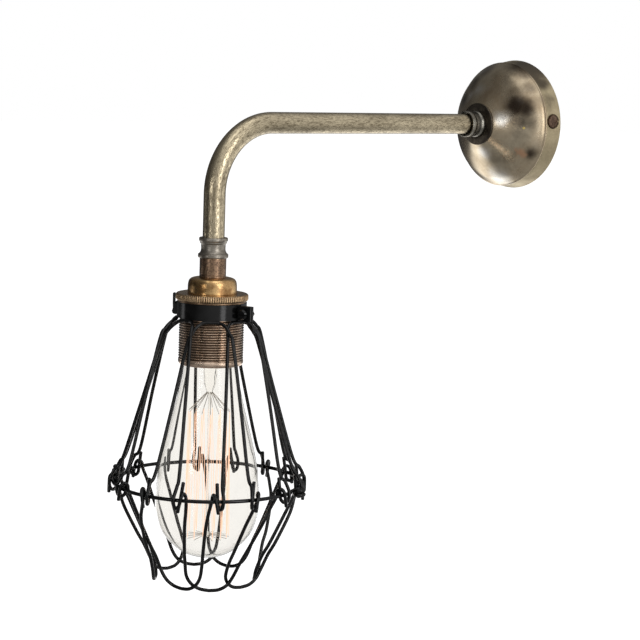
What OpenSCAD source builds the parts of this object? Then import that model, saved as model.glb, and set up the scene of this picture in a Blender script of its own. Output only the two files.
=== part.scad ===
// Wall light: round rose, swan arm, threaded lampholder and a hinged wire guard.
// Wall plane y = 0, wall on the +Y side, arm along -Y, lamp axis along -Z, millimetres.

/* [Rose] */
// radius of the rose at the wall
rose_r = 42.4; // [36:0.2:55]
// radius of the front edge of the band
rose_front_r = 40.3; // [34:0.1:53]
// depth of the band
rose_band = 11.4; // [9:0.1:16]
// depth of the whole rose
rose_depth = 33.2; // [26:0.1:45]
// sheet thickness of the spun cover
sheet = 1.2; // [0.8:0.1:1.6]
// radius of the dark disc on the front
boss_r = 13.7; // [11:0.1:17]
// thickness of the dark disc
boss_t = 1.4; // [0.8:0.1:3]

/* [Bracket] */
// thickness of the wall bracket
strap_t = 2; // [1.5:0.1:3]
// width of the wall bracket
strap_w = 16; // [12:0.5:20]
// distance from the centre to each wall slot
slot_x = 25; // [20:0.5:28]
// width of a wall slot
slot_w = 4.4; // [3.5:0.1:5.5]
// end to end length of a wall slot
slot_l = 9; // [6:0.5:11]
// shank radius of the side screws
side_r = 1.95; // [1.5:0.05:2.5]
// head radius of the side screws
side_head_r = 4.2; // [3.5:0.1:4.5]
// height of the side screws above the line of the arm
ear_z = 3.5; // [0:0.1:5]

/* [Arm] */
// wall to lamp axis
reach = 250.5; // [180:0.5:320]
// outside diameter of the tube
tube_od = 13; // [12:0.1:15]
// bore of the tube and outside diameter of the nipples
tube_id = 10; // [9:0.1:10.5]
// centreline radius of the bend
bend_r = 42; // [32:0.5:60]
// bore of the nipples
nipple_id = 7; // [6:0.1:7.5]
// lamp axis top: height of the coupling's top under the arm
drop = 67.5; // [60:0.5:110]

/* [Lampholder] */
// length of the turned coupling
coupling_l = 12.1; // [10:0.1:16]
// length of the plain sleeve
sleeve_l = 11.5; // [8:0.1:20]
// radius of the plain sleeve
sleeve_r = 7.9; // [7.2:0.1:9]
// height of the dome
dome_h = 9.5; // [8:0.1:14]
// radius of the dome
dome_r = 14.6; // [14:0.1:17]
// radius of the coin edged rim
rim_r = 21.6; // [21:0.1:24]
// height of the rim
rim_h = 4; // [3:0.1:6]
// crest radius of the threaded skirt
skirt_r = 19.4; // [19:0.1:20.5]
// length of the threaded skirt
skirt_l = 41; // [38:0.5:46]
// thread pitch of the skirt
pitch = 1.5; // [1:0.1:2.5]
// inner radius of the screw shell
shell_r = 13.45; // [13.4:0.05:13.6]

/* [Bulb] */
// crest radius of the bulb cap
cap_r = 13.1; // [12.9:0.05:13.12]
// greatest radius of the glass
bulb_r = 31; // [27:0.5:34]
// glass length below the holder
bulb_l = 117.5; // [100:0.5:130]
// glass thickness
glass_t = 0.7; // [0.5:0.1:1.2]

/* [Guard] */
// wire diameter
wire_d = 2.2; // [1.8:0.1:2.6]
// centreline radius of the ring
ring_r = 56.6; // [52:0.2:62]
// ring below the collar
ring_drop = 99.3; // [90:0.5:110]
// lowest wires below the ring
bowl_h = 59.4; // [54:0.5:66]
// radius at which the bottom loops end
bowl_r = 30.2; // [26:0.2:34]
// height of the collar
collar_h = 9.3; // [8:0.1:12]
// thickness of the front collar half
collar_t = 1; // [0.8:0.1:1.4]
// direction of the middle of the first top hairpin, from the front towards the right
first_pin = 47.4; // [40:0.1:50]
// half spread of a top hairpin at the ring
top_half = 31.5; // [30.5:0.1:32.5]
// half spread of a bottom loop at the ring
low_half = 30.5; // [29.5:0.1:31]

/* [Hidden] */
gap = 0.3;
fit = 0.05;
wr = wire_d / 2;
tube_r = tube_od / 2;
nip_r = tube_id / 2;
z_cpl = -drop;
z_slv = z_cpl - coupling_l;
z_dome = z_slv - sleeve_l;
z_rim = z_dome - dome_h;
z_sho = z_rim - rim_h;
sho_h = 1;
z_col = z_sho - sho_h;
z_colb = z_col - collar_h;
rim_plate = 1.4;
z_skt = z_rim - rim_plate;
z_lip = z_skt - skirt_l;
skirt_in = skirt_r - 1.8;
z_base = z_skt - 13;
shell_t = 0.4;
shell_wave = 0.65;
shell_out = shell_r + shell_wave + shell_t;
collar_in = skirt_r + gap;
collar_r = collar_in + collar_t;
z_ring = z_colb - ring_drop;
z_arch = z_colb - wr + 0.2;
z_low = z_ring - bowl_h;
split = first_pin + 69.1;
hinge_at = split + 180;
lug_at = split - 11;
hinge_top_r = collar_r + 2.9;
hinge_top_z = z_colb + 3.9;
hinge_low_r = ring_r + 4.2;
hinge_tilt = atan((hinge_low_r - hinge_top_r) / (hinge_top_z - z_ring));
knuckle_r = 1.9;
pin_r = 1;
rivet_r = 1.65;
lug_r = collar_r + 3.9;
lug_z = z_colb + 4;
lug_turn = lug_at + 5.4;
clamp_r = 1.5;
$fn = 64;

// ---- paths and profiles ----

// point at radius r and direction a about the lamp axis; a = 0 is the front, 90 the right
function about(r, a, z) = [r * sin(a), -reach - r * cos(a), z];
// point u to the side and v out from the lamp axis, in the direction c
function beside(c, u, v, z) = about(norm([u, v]), c + atan2(u, v), z);
function blend(a, b, c, d, t) = 0.5 * (2 * b + (c - a) * t + (2 * a - 5 * b + 4 * c - d) * t * t
    + (3 * b - a - 3 * c + d) * t * t * t);
// smooth curve through the points p with n steps a span
function smooth(p, n) = concat([for (i = [0 : len(p) - 2]) for (k = [0 : n - 1])
    blend(p[max(i - 1, 0)], p[i], p[i + 1], p[min(i + 2, len(p) - 1)], k / n)], [p[len(p) - 1]]);
function flip(p) = [for (i = [len(p) - 1 : -1 : 0]) p[i]];
function unit(v) = v / norm(v);
function way(p, i) = unit(p[min(i + 1, len(p) - 1)] - p[max(i - 1, 0)]);
function square_to(v, t) = unit(v - (v * t) * t);
// a side vector for every point, carried along the path without twist
function sides(p, first) = [for (i = 0, n = square_to(first, way(p, 0)); i < len(p);
    i = i + 1, n = i < len(p) ? square_to(n, way(p, i)) : n) n];

// round wire of radius r along the points p
module wire(p, r, m = 8, first = [0.31, 0.22, 0.93]) {
    n = sides(p, first);
    e = len(p) - 1;
    pts = [for (i = [0 : e]) let (t = way(p, i), b = cross(t, n[i])) for (k = [0 : m - 1])
        p[i] + r * (cos(360 * k / m) * n[i] + sin(360 * k / m) * b)];
    start = [[for (k = [0 : m - 1]) k]];
    finish = [[for (k = [m - 1 : -1 : 0]) e * m + k]];
    walls = [for (i = [0 : e - 1]) for (k = [0 : m - 1]) let (q = (k + 1) % m)
        each [[i * m + k, (i + 1) * m + k, (i + 1) * m + q], [i * m + k, (i + 1) * m + q, i * m + q]]];
    polyhedron(pts, concat(start, walls, finish), convexity = 10);
}

// straight round bar from p to q
module bar(p, q, r) {
    d = q - p;
    translate(p)
        rotate([0, acos(d[2] / norm(d)), atan2(d[1], d[0])])
            cylinder(r = r, h = norm(d), $fn = 16);
}

// turned piece on the lamp axis from points [radius, height]
module lathe(p) {
    translate([0, -reach, 0])
        rotate_extrude($fn = 96)
            polygon(p);
}

// turned piece on the arm axis from points [radius, distance from the wall]
module arm_lathe(p) {
    rotate([90, 0, 0])
        rotate_extrude($fn = 96)
            polygon(p);
}

// part of a turned piece between the directions a and b
module lathe_arc(p, a, b) {
    translate([0, -reach, 0])
        rotate([0, 0, a - 90])
            rotate_extrude(angle = b - a, $fn = 96)
                polygon(p);
}

// ---- rose and bracket ----

ear_x = rose_front_r - 1.4;
ear_y = rose_band / 2;
cup_floor = 1;
cup_r = side_head_r + 0.35;

module wall_bracket() {
    color([0.72, 0.73, 0.74])
        difference() {
            union() {
                translate([-ear_x, -strap_t, -strap_w / 2])
                    cube([2 * ear_x, strap_t, strap_w]);
                translate([-10, -strap_t, -30])
                    cube([20, strap_t, 30]);
                for (s = [-1, 1])
                    translate([s > 0 ? ear_x - strap_t : -ear_x, -rose_band + 0.6, -strap_w / 2])
                        cube([strap_t, rose_band - 0.6, strap_w]);
            }
            for (s = [-1, 1]) {
                translate([s * slot_x, 0, 0])
                    rotate([90, 0, 0])
                        slot_cut();
                translate([s * (ear_x - strap_t - 1), -ear_y, ear_z])
                    rotate([0, s * 90, 0])
                        cylinder(r = side_r + fit, h = strap_t + 2);
            }
            translate([13, 1, 0])
                rotate([90, 0, 0])
                    cylinder(r = 1.5, h = strap_t + 2);
        }
}

// slot cut through the bracket: a box with two round ends
module slot_cut() {
    e = (slot_l - slot_w) / 2;
    translate([-e, -slot_w / 2, -1])
        cube([2 * e, slot_w, strap_t + 2]);
    for (s = [-1, 1])
        translate([s * e, 0, -1])
            cylinder(r = slot_w / 2, h = strap_t + 2);
}

module earth_screw() {
    color([0.8, 0.65, 0.3])
        translate([13, -strap_t, 0])
            rotate([90, 0, 0])
                difference() {
                    union() {
                        cylinder(r = 4, h = 0.8);
                        cylinder(r = 3, h = 2.8);
                        translate([0, 0, -strap_t])
                            cylinder(r = 1.5, h = strap_t + 0.5);
                    }
                    translate([-4, -0.4, 2])
                        cube([8, 0.8, 2]);
                }
}

block_z = -12;
block_h = 15;
block_d = 11;

module terminal_block() {
    color([0.93, 0.92, 0.88])
        difference() {
            union() {
                translate([-13.5, -strap_t - block_d, block_z - block_h])
                    cube([27, block_d, block_h]);
            }
            for (x = [-9, 0, 9]) {
                translate([x, -strap_t - block_d - 1, block_z - 4])
                    rotate([-90, 0, 0])
                        cylinder(r = 1.7, h = 6, $fn = 24);
                translate([x, -strap_t - block_d - 1, block_z - 11])
                    rotate([-90, 0, 0])
                        cylinder(r = 1.7, h = 6, $fn = 24);
                translate([x, -strap_t - 5, block_z - block_h - 1])
                    cylinder(r = 1.8, h = 6, $fn = 24);
            }
        }
}

module block_screws() {
    color([0.8, 0.65, 0.3])
        for (x = [-9, 0, 9])
            for (z = [-4, -11])
                translate([x, -strap_t - block_d + 5, block_z + z])
                    rotate([90, 0, 0])
                        difference() {
                            cylinder(r = 1.65, h = 3, $fn = 24);
                            translate([-2, -0.3, 2.3])
                                cube([4, 0.6, 1]);
                        }
}

// outside of the rose from the wall to the flat front: [radius, distance from the wall]
function rose_out() = concat([[rose_r, 0], [rose_front_r + 0.35, rose_band - 0.9],
    [rose_front_r, rose_band]],
    smooth([for (q = [[0.985, 0.02], [0.955, 0.13], [0.875, 0.315], [0.755, 0.495], [0.6, 0.68],
        [0.46, 0.845], [0.36, 0.96], [boss_r / rose_front_r, 1]])
        [rose_front_r * q[0], rose_band + (rose_depth - rose_band) * q[1]]], 3));

module rose_cover() {
    o = rose_out();
    m = len(o);
    inner = [for (i = [m - 1 : -1 : 0])
        o[i] - sheet * unit([o[min(i + 1, m - 1)][1] - o[max(i - 1, 0)][1],
            o[max(i - 1, 0)][0] - o[min(i + 1, m - 1)][0]])];
    color([0.45, 0.42, 0.38])
        difference() {
            union() {
                arm_lathe(concat([for (p = o) p], [[nip_r + 0.2, rose_depth],
                    [nip_r + 0.2, rose_depth - sheet]],
                    [for (p = inner) [max(p[0], nip_r + 0.2), max(min(p[1], rose_depth - sheet), 0)]]));
                intersection() {
                    for (s = [-1, 1])
                        translate([s * ear_x, -ear_y, ear_z])
                            rotate([0, s * 90, 0])
                                cylinder(r = cup_r + 0.9, h = rose_r - ear_x);
                    rotate([90, 0, 0])
                        cylinder(r1 = rose_r - 0.6, r2 = rose_front_r - 0.25, h = rose_band - 0.9,
                            $fn = 96);
                }
            }
            for (s = [-1, 1]) {
                translate([s * (ear_x + cup_floor), -ear_y, ear_z])
                    rotate([0, s * 90, 0])
                        cylinder(r = cup_r, h = 10);
                translate([s * (ear_x - 1), -ear_y, ear_z])
                    rotate([0, s * 90, 0])
                        cylinder(r = side_r + gap, h = 10);
            }
            translate([-rose_r, 0, -rose_r])
                cube([2 * rose_r, 5, 2 * rose_r]);
        }
}

module side_screw(s) {
    color([0.2, 0.13, 0.09])
        translate([s * (ear_x + cup_floor + 0.02), -ear_y, ear_z])
            rotate([0, s * 90, 0])
                difference() {
                    union() {
                        cylinder(r = side_head_r, h = 1.3);
                        translate([0, 0, 1.3])
                            cylinder(r1 = side_head_r, r2 = side_head_r - 0.5, h = 0.4);
                        translate([0, 0, -7])
                            cylinder(r = side_r, h = 7.5);
                    }
                    translate([-0.5, -5, 0.9])
                        cube([1, 10, 2]);
                }
}

module rose_screw_right() {
    side_screw(1);
}

module rose_screw_left() {
    side_screw(-1);
}

module boss_disc() {
    color([0.12, 0.1, 0.09])
        arm_lathe([[nip_r + 0.2, rose_depth], [boss_r, rose_depth], [boss_r, rose_depth + boss_t - 0.3],
            [boss_r - 0.4, rose_depth + boss_t], [nip_r + 0.2, rose_depth + boss_t]]);
}

fer_y = rose_depth + boss_t;
fer_l = 11.4;
seat_y = fer_y + 2.4;

module ferrule() {
    color([0.7, 0.66, 0.55])
        arm_lathe([[nip_r, fer_y], [tube_r + 2.1, fer_y], [tube_r + 2.1, fer_y + 1.9],
            [tube_r + 1.8, fer_y + 2.5],
            [tube_r + 1.35, fer_y + 3.2], [tube_r + 1.35, fer_y + 7.6], [tube_r + 2, fer_y + 8.4],
            [tube_r + 2, fer_y + fer_l - 0.4], [tube_r + 1.7, fer_y + fer_l], [tube_r + 1.1, fer_y + fer_l],
            [tube_r + 1.1, fer_y + 8.8], [tube_r, fer_y + 8.8], [tube_r, seat_y], [nip_r, seat_y]]);
}

module lock_nut() {
    difference() {
        cylinder(r = 8.1, h = 3.2, $fn = 6);
        translate([0, 0, -1])
            cylinder(r = nip_r, h = 6);
    }
}

module lock_nuts() {
    color([0.75, 0.62, 0.3]) {
        translate([0, -(rose_depth - sheet), 0])
            rotate([-90, 0, 0])
                lock_nut();
        translate([0, -reach, z_dome - sheet - 3.2])
            lock_nut();
    }
}

module upper_nipple() {
    color([0.75, 0.62, 0.3])
        arm_lathe([[nipple_id / 2, rose_depth - 9], [nip_r, rose_depth - 9], [nip_r, seat_y + 14],
            [nipple_id / 2, seat_y + 14]]);
}

// ---- arm ----

tube_end_z = z_cpl - 7.5;

module arm_tube() {
    color([0.55, 0.53, 0.45])
        difference() {
            union() {
                rotate([90, 0, 0])
                    translate([0, 0, seat_y])
                        cylinder(r = tube_r, h = reach - bend_r - seat_y);
                bend(tube_r);
                translate([0, -reach, tube_end_z])
                    cylinder(r = tube_r, h = -bend_r - tube_end_z);
            }
            rotate([90, 0, 0])
                translate([0, 0, seat_y - 1])
                    cylinder(r = nip_r, h = reach - bend_r - seat_y + 1);
            bend(nip_r);
            translate([0, -reach, tube_end_z - 1])
                cylinder(r = nip_r, h = -bend_r - tube_end_z + 1);
        }
}

// quarter bend of radius r about the bend centre
module bend(r) {
    translate([0, -(reach - bend_r), -bend_r])
        rotate([0, -90, 0])
            rotate([0, 0, -90])
                rotate_extrude(angle = 90, $fn = 96)
                    translate([bend_r, 0])
                        circle(r = r, $fn = 48);
}

// ---- lampholder ----

module coupling() {
    h = coupling_l;
    color([0.68, 0.67, 0.64])
        lathe([[tube_r, z_cpl], [tube_r + 1.7, z_cpl], [tube_r + 2.05, z_cpl - 0.03 * h],
            [tube_r + 2.05, z_cpl - 0.17 * h], [tube_r + 1.5, z_cpl - 0.21 * h],
            [tube_r + 1.4, z_cpl - 0.27 * h],
            [tube_r + 0.8, z_cpl - 0.32 * h], [tube_r + 0.7, z_cpl - 0.6 * h],
            [tube_r + 1.1, z_cpl - 0.7 * h],
            [tube_r + 1.7, z_cpl - 0.77 * h], [tube_r + 2.5, z_cpl - 0.81 * h],
            [tube_r + 2.5, z_slv + 0.4], [tube_r + 2.1, z_slv], [nip_r, z_slv], [nip_r, tube_end_z],
            [tube_r, tube_end_z]]);
}

module lower_nipple() {
    color([0.75, 0.62, 0.3])
        lathe([[nipple_id / 2, tube_end_z + 14], [nip_r, tube_end_z + 14], [nip_r, z_dome - sheet - 3.4],
            [nipple_id / 2, z_dome - sheet - 3.4]]);
}

module sleeve() {
    color([0.42, 0.33, 0.24])
        lathe([[nip_r, z_slv], [sleeve_r - 0.2, z_slv], [sleeve_r, z_slv - 0.3], [sleeve_r, z_dome + 0.3],
            [sleeve_r - 0.2, z_dome], [nip_r, z_dome]]);
}

spigot_r = dome_r - 0.7;
dome_in = dome_r - 2;

module holder_cap() {
    color([0.72, 0.58, 0.36])
        lathe([[nip_r, z_dome], [dome_r - 4.6, z_dome], [dome_r - 2.9, z_dome - 0.25],
            [dome_r - 1.4, z_dome - 0.8],
            [dome_r - 0.6, z_dome - 1.7], [dome_r - 0.3, z_dome - 2.9], [dome_r, z_rim + 0.8],
            [dome_r, z_rim],
            [spigot_r, z_rim], [spigot_r, z_skt - 1.5], [dome_in, z_skt - 1.5], [dome_in, z_dome - 2.4],
            [dome_in - 1.2, z_dome - sheet], [nip_r, z_dome - sheet]]);
}

teeth = 96;

module coin_rim() {
    color([0.75, 0.6, 0.38]) {
        lathe([[spigot_r, z_rim], [rim_r - 1, z_rim], [rim_r - 0.5, z_rim - 0.5],
            [rim_r - 0.5, z_sho + 0.35],
            [rim_r - 0.8, z_sho], [skirt_r, z_sho], [skirt_r, z_skt], [spigot_r, z_skt]]);
        translate([0, -reach, z_sho + 0.45])
            linear_extrude(height = rim_h - 0.95)
                difference() {
                    polygon([for (i = [0 : 2 * teeth - 1])
                        (i % 2 == 0 ? rim_r : rim_r - 0.45) * [cos(180 * i / teeth),
                            sin(180 * i / teeth)]]);
                    circle(r = rim_r - 1.2, $fn = 96);
                }
    }
}

module shoulder_ring() {
    color([0.85, 0.72, 0.5])
        lathe([[skirt_r, z_sho], [rim_r - 1.3, z_sho], [rim_r - 1.1, z_sho - 0.2],
            [rim_r - 1.1, z_col + 0.2],
            [rim_r - 1.3, z_col], [skirt_r, z_col]]);
}

thread_top = z_sho;
thread_low = z_lip + 2.8;
thread_n = floor((thread_top - thread_low) / pitch);

module threaded_skirt() {
    color([0.62, 0.47, 0.38])
        lathe(concat([[skirt_in, z_skt], [skirt_r, z_skt]],
            [for (i = [0 : thread_n - 1]) each [
                [skirt_r, thread_top - i * pitch],
                [skirt_r - 0.6, thread_top - (i + 0.38) * pitch],
                [skirt_r - 0.6, thread_top - (i + 0.5) * pitch],
                [skirt_r, thread_top - (i + 0.88) * pitch]]],
            [[skirt_r, z_lip + 1.6], [skirt_r - 0.8, z_lip], [skirt_in, z_lip]]));
}

post_x = 9;

module holder_insert() {
    color([0.9, 0.87, 0.8])
        difference() {
            lathe([[0, z_skt - 1.5], [spigot_r, z_skt - 1.5], [spigot_r, z_skt], [skirt_in, z_skt],
                [skirt_in, z_lip + 3.5], [shell_out, z_lip + 3.5], [shell_out, z_base], [0, z_base]]);
            for (a = [0, 180])
                translate([post_x * cos(a), -reach + post_x * sin(a), z_base - 1])
                    cylinder(r = 1.3, h = 13, $fn = 32);
        }
}

// screw shell: rolled thread, with a flange under the insert
module screw_shell() {
    turn = 3.62;
    low = z_lip + 4.5;
    n = floor((z_base - 2.5 - low) / turn * 6);
    wave = [for (i = [0 : n]) [shell_r + shell_wave / 2 * (1 - cos(60 * i)), low + i * turn / 6]];
    color([0.82, 0.68, 0.36])
        difference() {
            lathe(concat([for (p = wave) p + [shell_t, 0]], [[shell_r + shell_t, z_base], [8, z_base],
                [8, z_base - 0.5], [shell_r, z_base - 0.5]], flip(wave)));
            translate([0, -reach - 4, z_base - 0.7])
                cube([12.5, 8, 1]);
        }
}

module centre_contact() {
    color([0.85, 0.7, 0.35])
        translate([-4, -reach - 2.5, z_base - 0.6])
            cube([4 + post_x + 2, 5, 0.6]);
}

module terminal_posts() {
    top = z_skt - 1.5;
    color([0.82, 0.68, 0.36])
        for (a = [0, 180, 270])
            translate([0, -reach, 0])
                rotate([0, 0, a])
                    difference() {
                        union() {
                            translate([5.6, -2.2, top])
                                cube([6.4, 4.4, 2.5]);
                            if (a < 200)
                                translate([post_x, 0, z_base])
                                    cylinder(r = 1.3, h = 12.5, $fn = 32);
                        }
                        translate([10.3, 0, top + 1])
                            cylinder(r = 0.9, h = 3, $fn = 24);
                    }
}

module terminal_screws() {
    top = z_skt - 1.5 + 2.5;
    color([0.75, 0.76, 0.78])
        for (a = [0, 180, 270])
            translate([0, -reach, top])
                rotate([0, 0, a])
                    translate([10.3, 0, 0])
                        difference() {
                            union() {
                                cylinder(r = 1.5, h = 1.1, $fn = 24);
                                translate([0, 0, -1.4])
                                    cylinder(r = 0.9, h = 1.5, $fn = 24);
                            }
                            translate([-2, -0.25, 0.6])
                                cube([4, 0.5, 1]);
                        }
}

// three wires run from the block through the nipple and the arm to the posts
core_r = 0.9;

module core(x, turn, post) {
    o = 1.25;
    c = cos(turn) * o;
    s = sin(turn) * o;
    yb = -(reach - bend_r);
    inside = [for (y = [-(rose_depth - 8), -70, -140, yb]) [c, y, s]];
    round = [for (a = [15 : 15 : 75]) [c, yb - (bend_r + s) * sin(a), -bend_r + (bend_r + s) * cos(a)]];
    down = [for (z = [-bend_r, z_cpl, z_dome - sheet - 3.6]) [c, -reach - s, z]];
    e = post_x - 1.4;
    top = z_skt + 1;
    finish = [[e * 0.55 * cos(post), -reach + e * 0.55 * sin(post), z_dome - 6.4],
        [e * 0.93 * cos(post), -reach + e * 0.93 * sin(post), top + 1.5],
        [e * cos(post), -reach + e * sin(post), top]];
    wire(concat(smooth([[x, -strap_t - 5, block_z], [x, -strap_t - 5.4, block_z + 4],
        [x * 0.55, -strap_t - 10, block_z + 10], [c, -18, s], inside[0]], 3),
        [inside[1], inside[2], inside[3]], round, [down[0], down[1]],
        smooth(concat([down[2]], finish), 3)), core_r, 8);
}

module wire_live() {
    color([0.4, 0.22, 0.12])
        core(9, 0, 0);
}

module wire_neutral() {
    color([0.15, 0.3, 0.6])
        core(-9, 180, 180);
}

module wire_earth() {
    color([0.35, 0.55, 0.2])
        core(0, 270 - 180, 270);
}

// ---- guard ----

// local frame of the hinge: x outwards, y towards the front half, z up the hinge axis
module at_hinge(r, z) {
    translate([0, -reach, 0])
        rotate([0, 0, hinge_at - 90])
            translate([r, 0, z])
                rotate([0, -hinge_tilt, 0])
                    children();
}

// local frame of the clamp: x outwards, y towards the back half, z up
module at_lug() {
    translate(about(lug_r, lug_at, lug_z))
        rotate([0, 0, lug_turn - 90])
            children();
}

module collar_back() {
    color([0.03, 0.03, 0.03])
        difference() {
            union() {
                lathe_arc([[skirt_r, z_colb], [collar_r, z_colb], [collar_r, z_col], [skirt_r, z_col]],
                    lug_at + 1.8, hinge_at - 1.3);
                at_lug()
                    translate([-lug_r + collar_r - 0.5, 0.5, -4.1])
                        cube([4.4 + lug_r - collar_r + 0.5, 1.4, 8.7]);
                at_hinge(hinge_top_r, hinge_top_z)
                    for (s = [-1, 1])
                        translate([0, 0, s * 2.1 - 1]) {
                            cylinder(r = knuckle_r, h = 2, $fn = 48);
                            translate([-4.4, -3.4, 0])
                                cube([5, 2.9, 2]);
                        }
            }
            at_lug()
                translate([0, -1, 0])
                    rotate([-90, 0, 0])
                        cylinder(r = 2.1, h = 4, $fn = 48);
            at_hinge(hinge_top_r, hinge_top_z)
                translate([0, 0, -6])
                    cylinder(r = pin_r, h = 12, $fn = 48);
            translate([0, -reach, z_colb - 1])
                rotate([0, 0, lug_at - 90])
                    translate([15, 0, 0])
                        cube([7, 4, 1.6]);
            lathe([[0, z_colb - 3], [skirt_r, z_colb - 3], [skirt_r, z_col + 3], [0, z_col + 3]]);
        }
}

module collar_front() {
    color([0.03, 0.03, 0.03])
        difference() {
            union() {
                lathe_arc([[collar_in, z_colb], [collar_r, z_colb], [collar_r, z_col - 0.1],
                    [collar_in, z_col - 0.1]],
                    hinge_at - 360 + 1.3, lug_at - 1.8);
                at_lug()
                    translate([-lug_r + collar_r - 0.5, -1.9, -4.1])
                        cube([4.4 + lug_r - collar_r + 0.5, 1.4, 8.7]);
                at_hinge(hinge_top_r, hinge_top_z)
                    translate([0, 0, -0.8]) {
                        cylinder(r = knuckle_r, h = 1.6, $fn = 48);
                        translate([-4.4, 0.5, 0])
                            cube([5, 2.6, 1.6]);
                    }
            }
            at_lug()
                translate([0, -4, 0])
                    rotate([-90, 0, 0])
                        cylinder(r = clamp_r + fit, h = 4, $fn = 48);
            at_hinge(hinge_top_r, hinge_top_z)
                translate([0, 0, -6])
                    cylinder(r = pin_r + fit, h = 12, $fn = 48);
            lathe([[0, z_colb - 3], [collar_in, z_colb - 3], [collar_in, z_col + 3], [0, z_col + 3]]);
        }
}

// upright tab on the front half beside the hinge; it reaches past the rim as a finger rest
module hinge_tab() {
    foot = z_col - 2.4;
    tip = z_rim - 0.9;
    weld = z_colb + 3.4;
    color([0.03, 0.03, 0.03])
        lathe_arc([[rim_r + 1.4, z_colb + 0.5], [rim_r + 2.1, z_colb + 1.2],
            [rim_r + 2.4, foot], [rim_r + 2.4, tip - 0.6], [rim_r + 2, tip], [rim_r + 1.4, tip],
            [rim_r + 1, tip - 0.4], [rim_r + 1, foot], [collar_r + 0.1, foot], [collar_r + 0.1, weld + 0.4],
            [collar_r, weld + 0.3], [collar_r, weld - 0.3], [collar_r + 0.1, weld - 0.4],
            [collar_r + 0.1, z_colb + 0.5]], hinge_at + 9, hinge_at + 13);
}

module hinge_pin() {
    color([0.05, 0.05, 0.05])
        at_hinge(hinge_top_r, hinge_top_z) {
            translate([0, 0, -3.8])
                cylinder(r = pin_r, h = 7.6, $fn = 48);
            translate([0, 0, 3.15])
                cylinder(r1 = 1.7, r2 = 1.2, h = 0.8, $fn = 32);
            translate([0, 0, -3.95])
                cylinder(r1 = 1.2, r2 = 1.7, h = 0.8, $fn = 32);
        }
}

module clamp_nut() {
    color([0.05, 0.05, 0.05])
        at_lug()
            translate([0, 1.9, 0])
                rotate([-90, 0, 0])
                    difference() {
                        cylinder(r = 3.9, h = 2.4, $fn = 6);
                        translate([0, 0, -1])
                            cylinder(r = 2.1, h = 5, $fn = 48);
                    }
}

module clamp_screw() {
    color([0.06, 0.06, 0.06])
        at_lug()
            translate([0, -1.95, 0])
                rotate([90, 0, 0])
                    difference() {
                        union() {
                            cylinder(r = 3.1, h = 2);
                            translate([0, 0, 2])
                                cylinder(r1 = 3.1, r2 = 2.3, h = 0.9);
                            translate([0, 0, -5.2])
                                cylinder(r = clamp_r, h = 5.4, $fn = 48);
                        }
                        translate([-4, -0.45, 1.7])
                            cube([8, 0.9, 2]);
                    }
}

// half of the ring from direction a to b
module ring_arc(a, b) {
    translate([0, -reach, z_ring])
        rotate([0, 0, a - 90])
            rotate_extrude(angle = b - a, $fn = 96)
                translate([ring_r, 0])
                    circle(r = wr, $fn = 32);
}

eye_r = rivet_r + wr;
eye_s = wr + gap / 2;

module eye(r) {
    rotate_extrude($fn = 64)
        translate([r, 0])
            circle(r = wr, $fn = 32);
}

// point beside the hinge in the frame of the ring: out, along, up
function at_eye(x, y, s) = about(
    norm([hinge_low_r + x * cos(hinge_tilt) - s * sin(hinge_tilt), y]),
    hinge_at + atan2(y, hinge_low_r + x * cos(hinge_tilt) - s * sin(hinge_tilt)),
    z_ring + x * sin(hinge_tilt) + s * cos(hinge_tilt));

close_r = ring_r + wr + 2.4;

module ring_back() {
    color([0.03, 0.03, 0.03]) {
        ring_arc(split + 5, hinge_at - 6);
        wire(smooth([about(ring_r, hinge_at - 7.5, z_ring), about(ring_r, hinge_at - 6, z_ring),
            at_eye(-eye_r - 0.9, -3.6, -eye_s * 0.8), at_eye(-eye_r + 0.05, -0.4, -eye_s)],
                3), wr - 0.02, 10);
        at_hinge(hinge_low_r, z_ring)
            translate([0, 0, -eye_s])
                eye(eye_r);
        wire(smooth([about(ring_r, split + 6.5, z_ring), about(ring_r, split + 5, z_ring),
            about(close_r - eye_r - 0.6, split + 3, z_ring - 0.8),
            about(close_r - eye_r, split + 0.4, z_ring - eye_s - 0.05)], 3), wr - 0.02, 10);
        translate(about(close_r, split, z_ring - eye_s - 0.05))
            eye(eye_r);
    }
}

module ring_front() {
    color([0.03, 0.03, 0.03]) {
        ring_arc(hinge_at - 360 + 6, split - 5);
        wire(smooth([about(ring_r, hinge_at + 7.5, z_ring), about(ring_r, hinge_at + 6, z_ring),
            at_eye(-eye_r - 0.9, 3.6, eye_s * 0.8), at_eye(-eye_r - fit + 0.05, 0.4, eye_s)],
                3), wr - 0.02, 10);
        at_hinge(hinge_low_r, z_ring)
            translate([0, 0, eye_s])
                eye(eye_r + fit);
        wire(smooth([about(ring_r, split - 6.5, z_ring), about(ring_r, split - 5, z_ring),
            about(close_r - eye_r - 0.6, split - 3, z_ring + 0.8),
            about(close_r - eye_r, split - 0.4, z_ring + eye_s + 0.05)], 3), wr - 0.02, 10);
        translate(about(close_r, split, z_ring + eye_s + 0.05))
            eye(eye_r);
    }
}

module hinge_rivet() {
    color([0.04, 0.04, 0.04])
        at_hinge(hinge_low_r, z_ring)
            rotate_extrude($fn = 48)
                polygon([[0, -4.6], [1.4, -4.6], [2.1, -4.1], [2.1, -3.5], [rivet_r, -3.3], [rivet_r, 3.3],
                    [2.1, 3.5], [2.1, 4.1], [1.4, 4.6], [0, 4.6]]);
}

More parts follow.
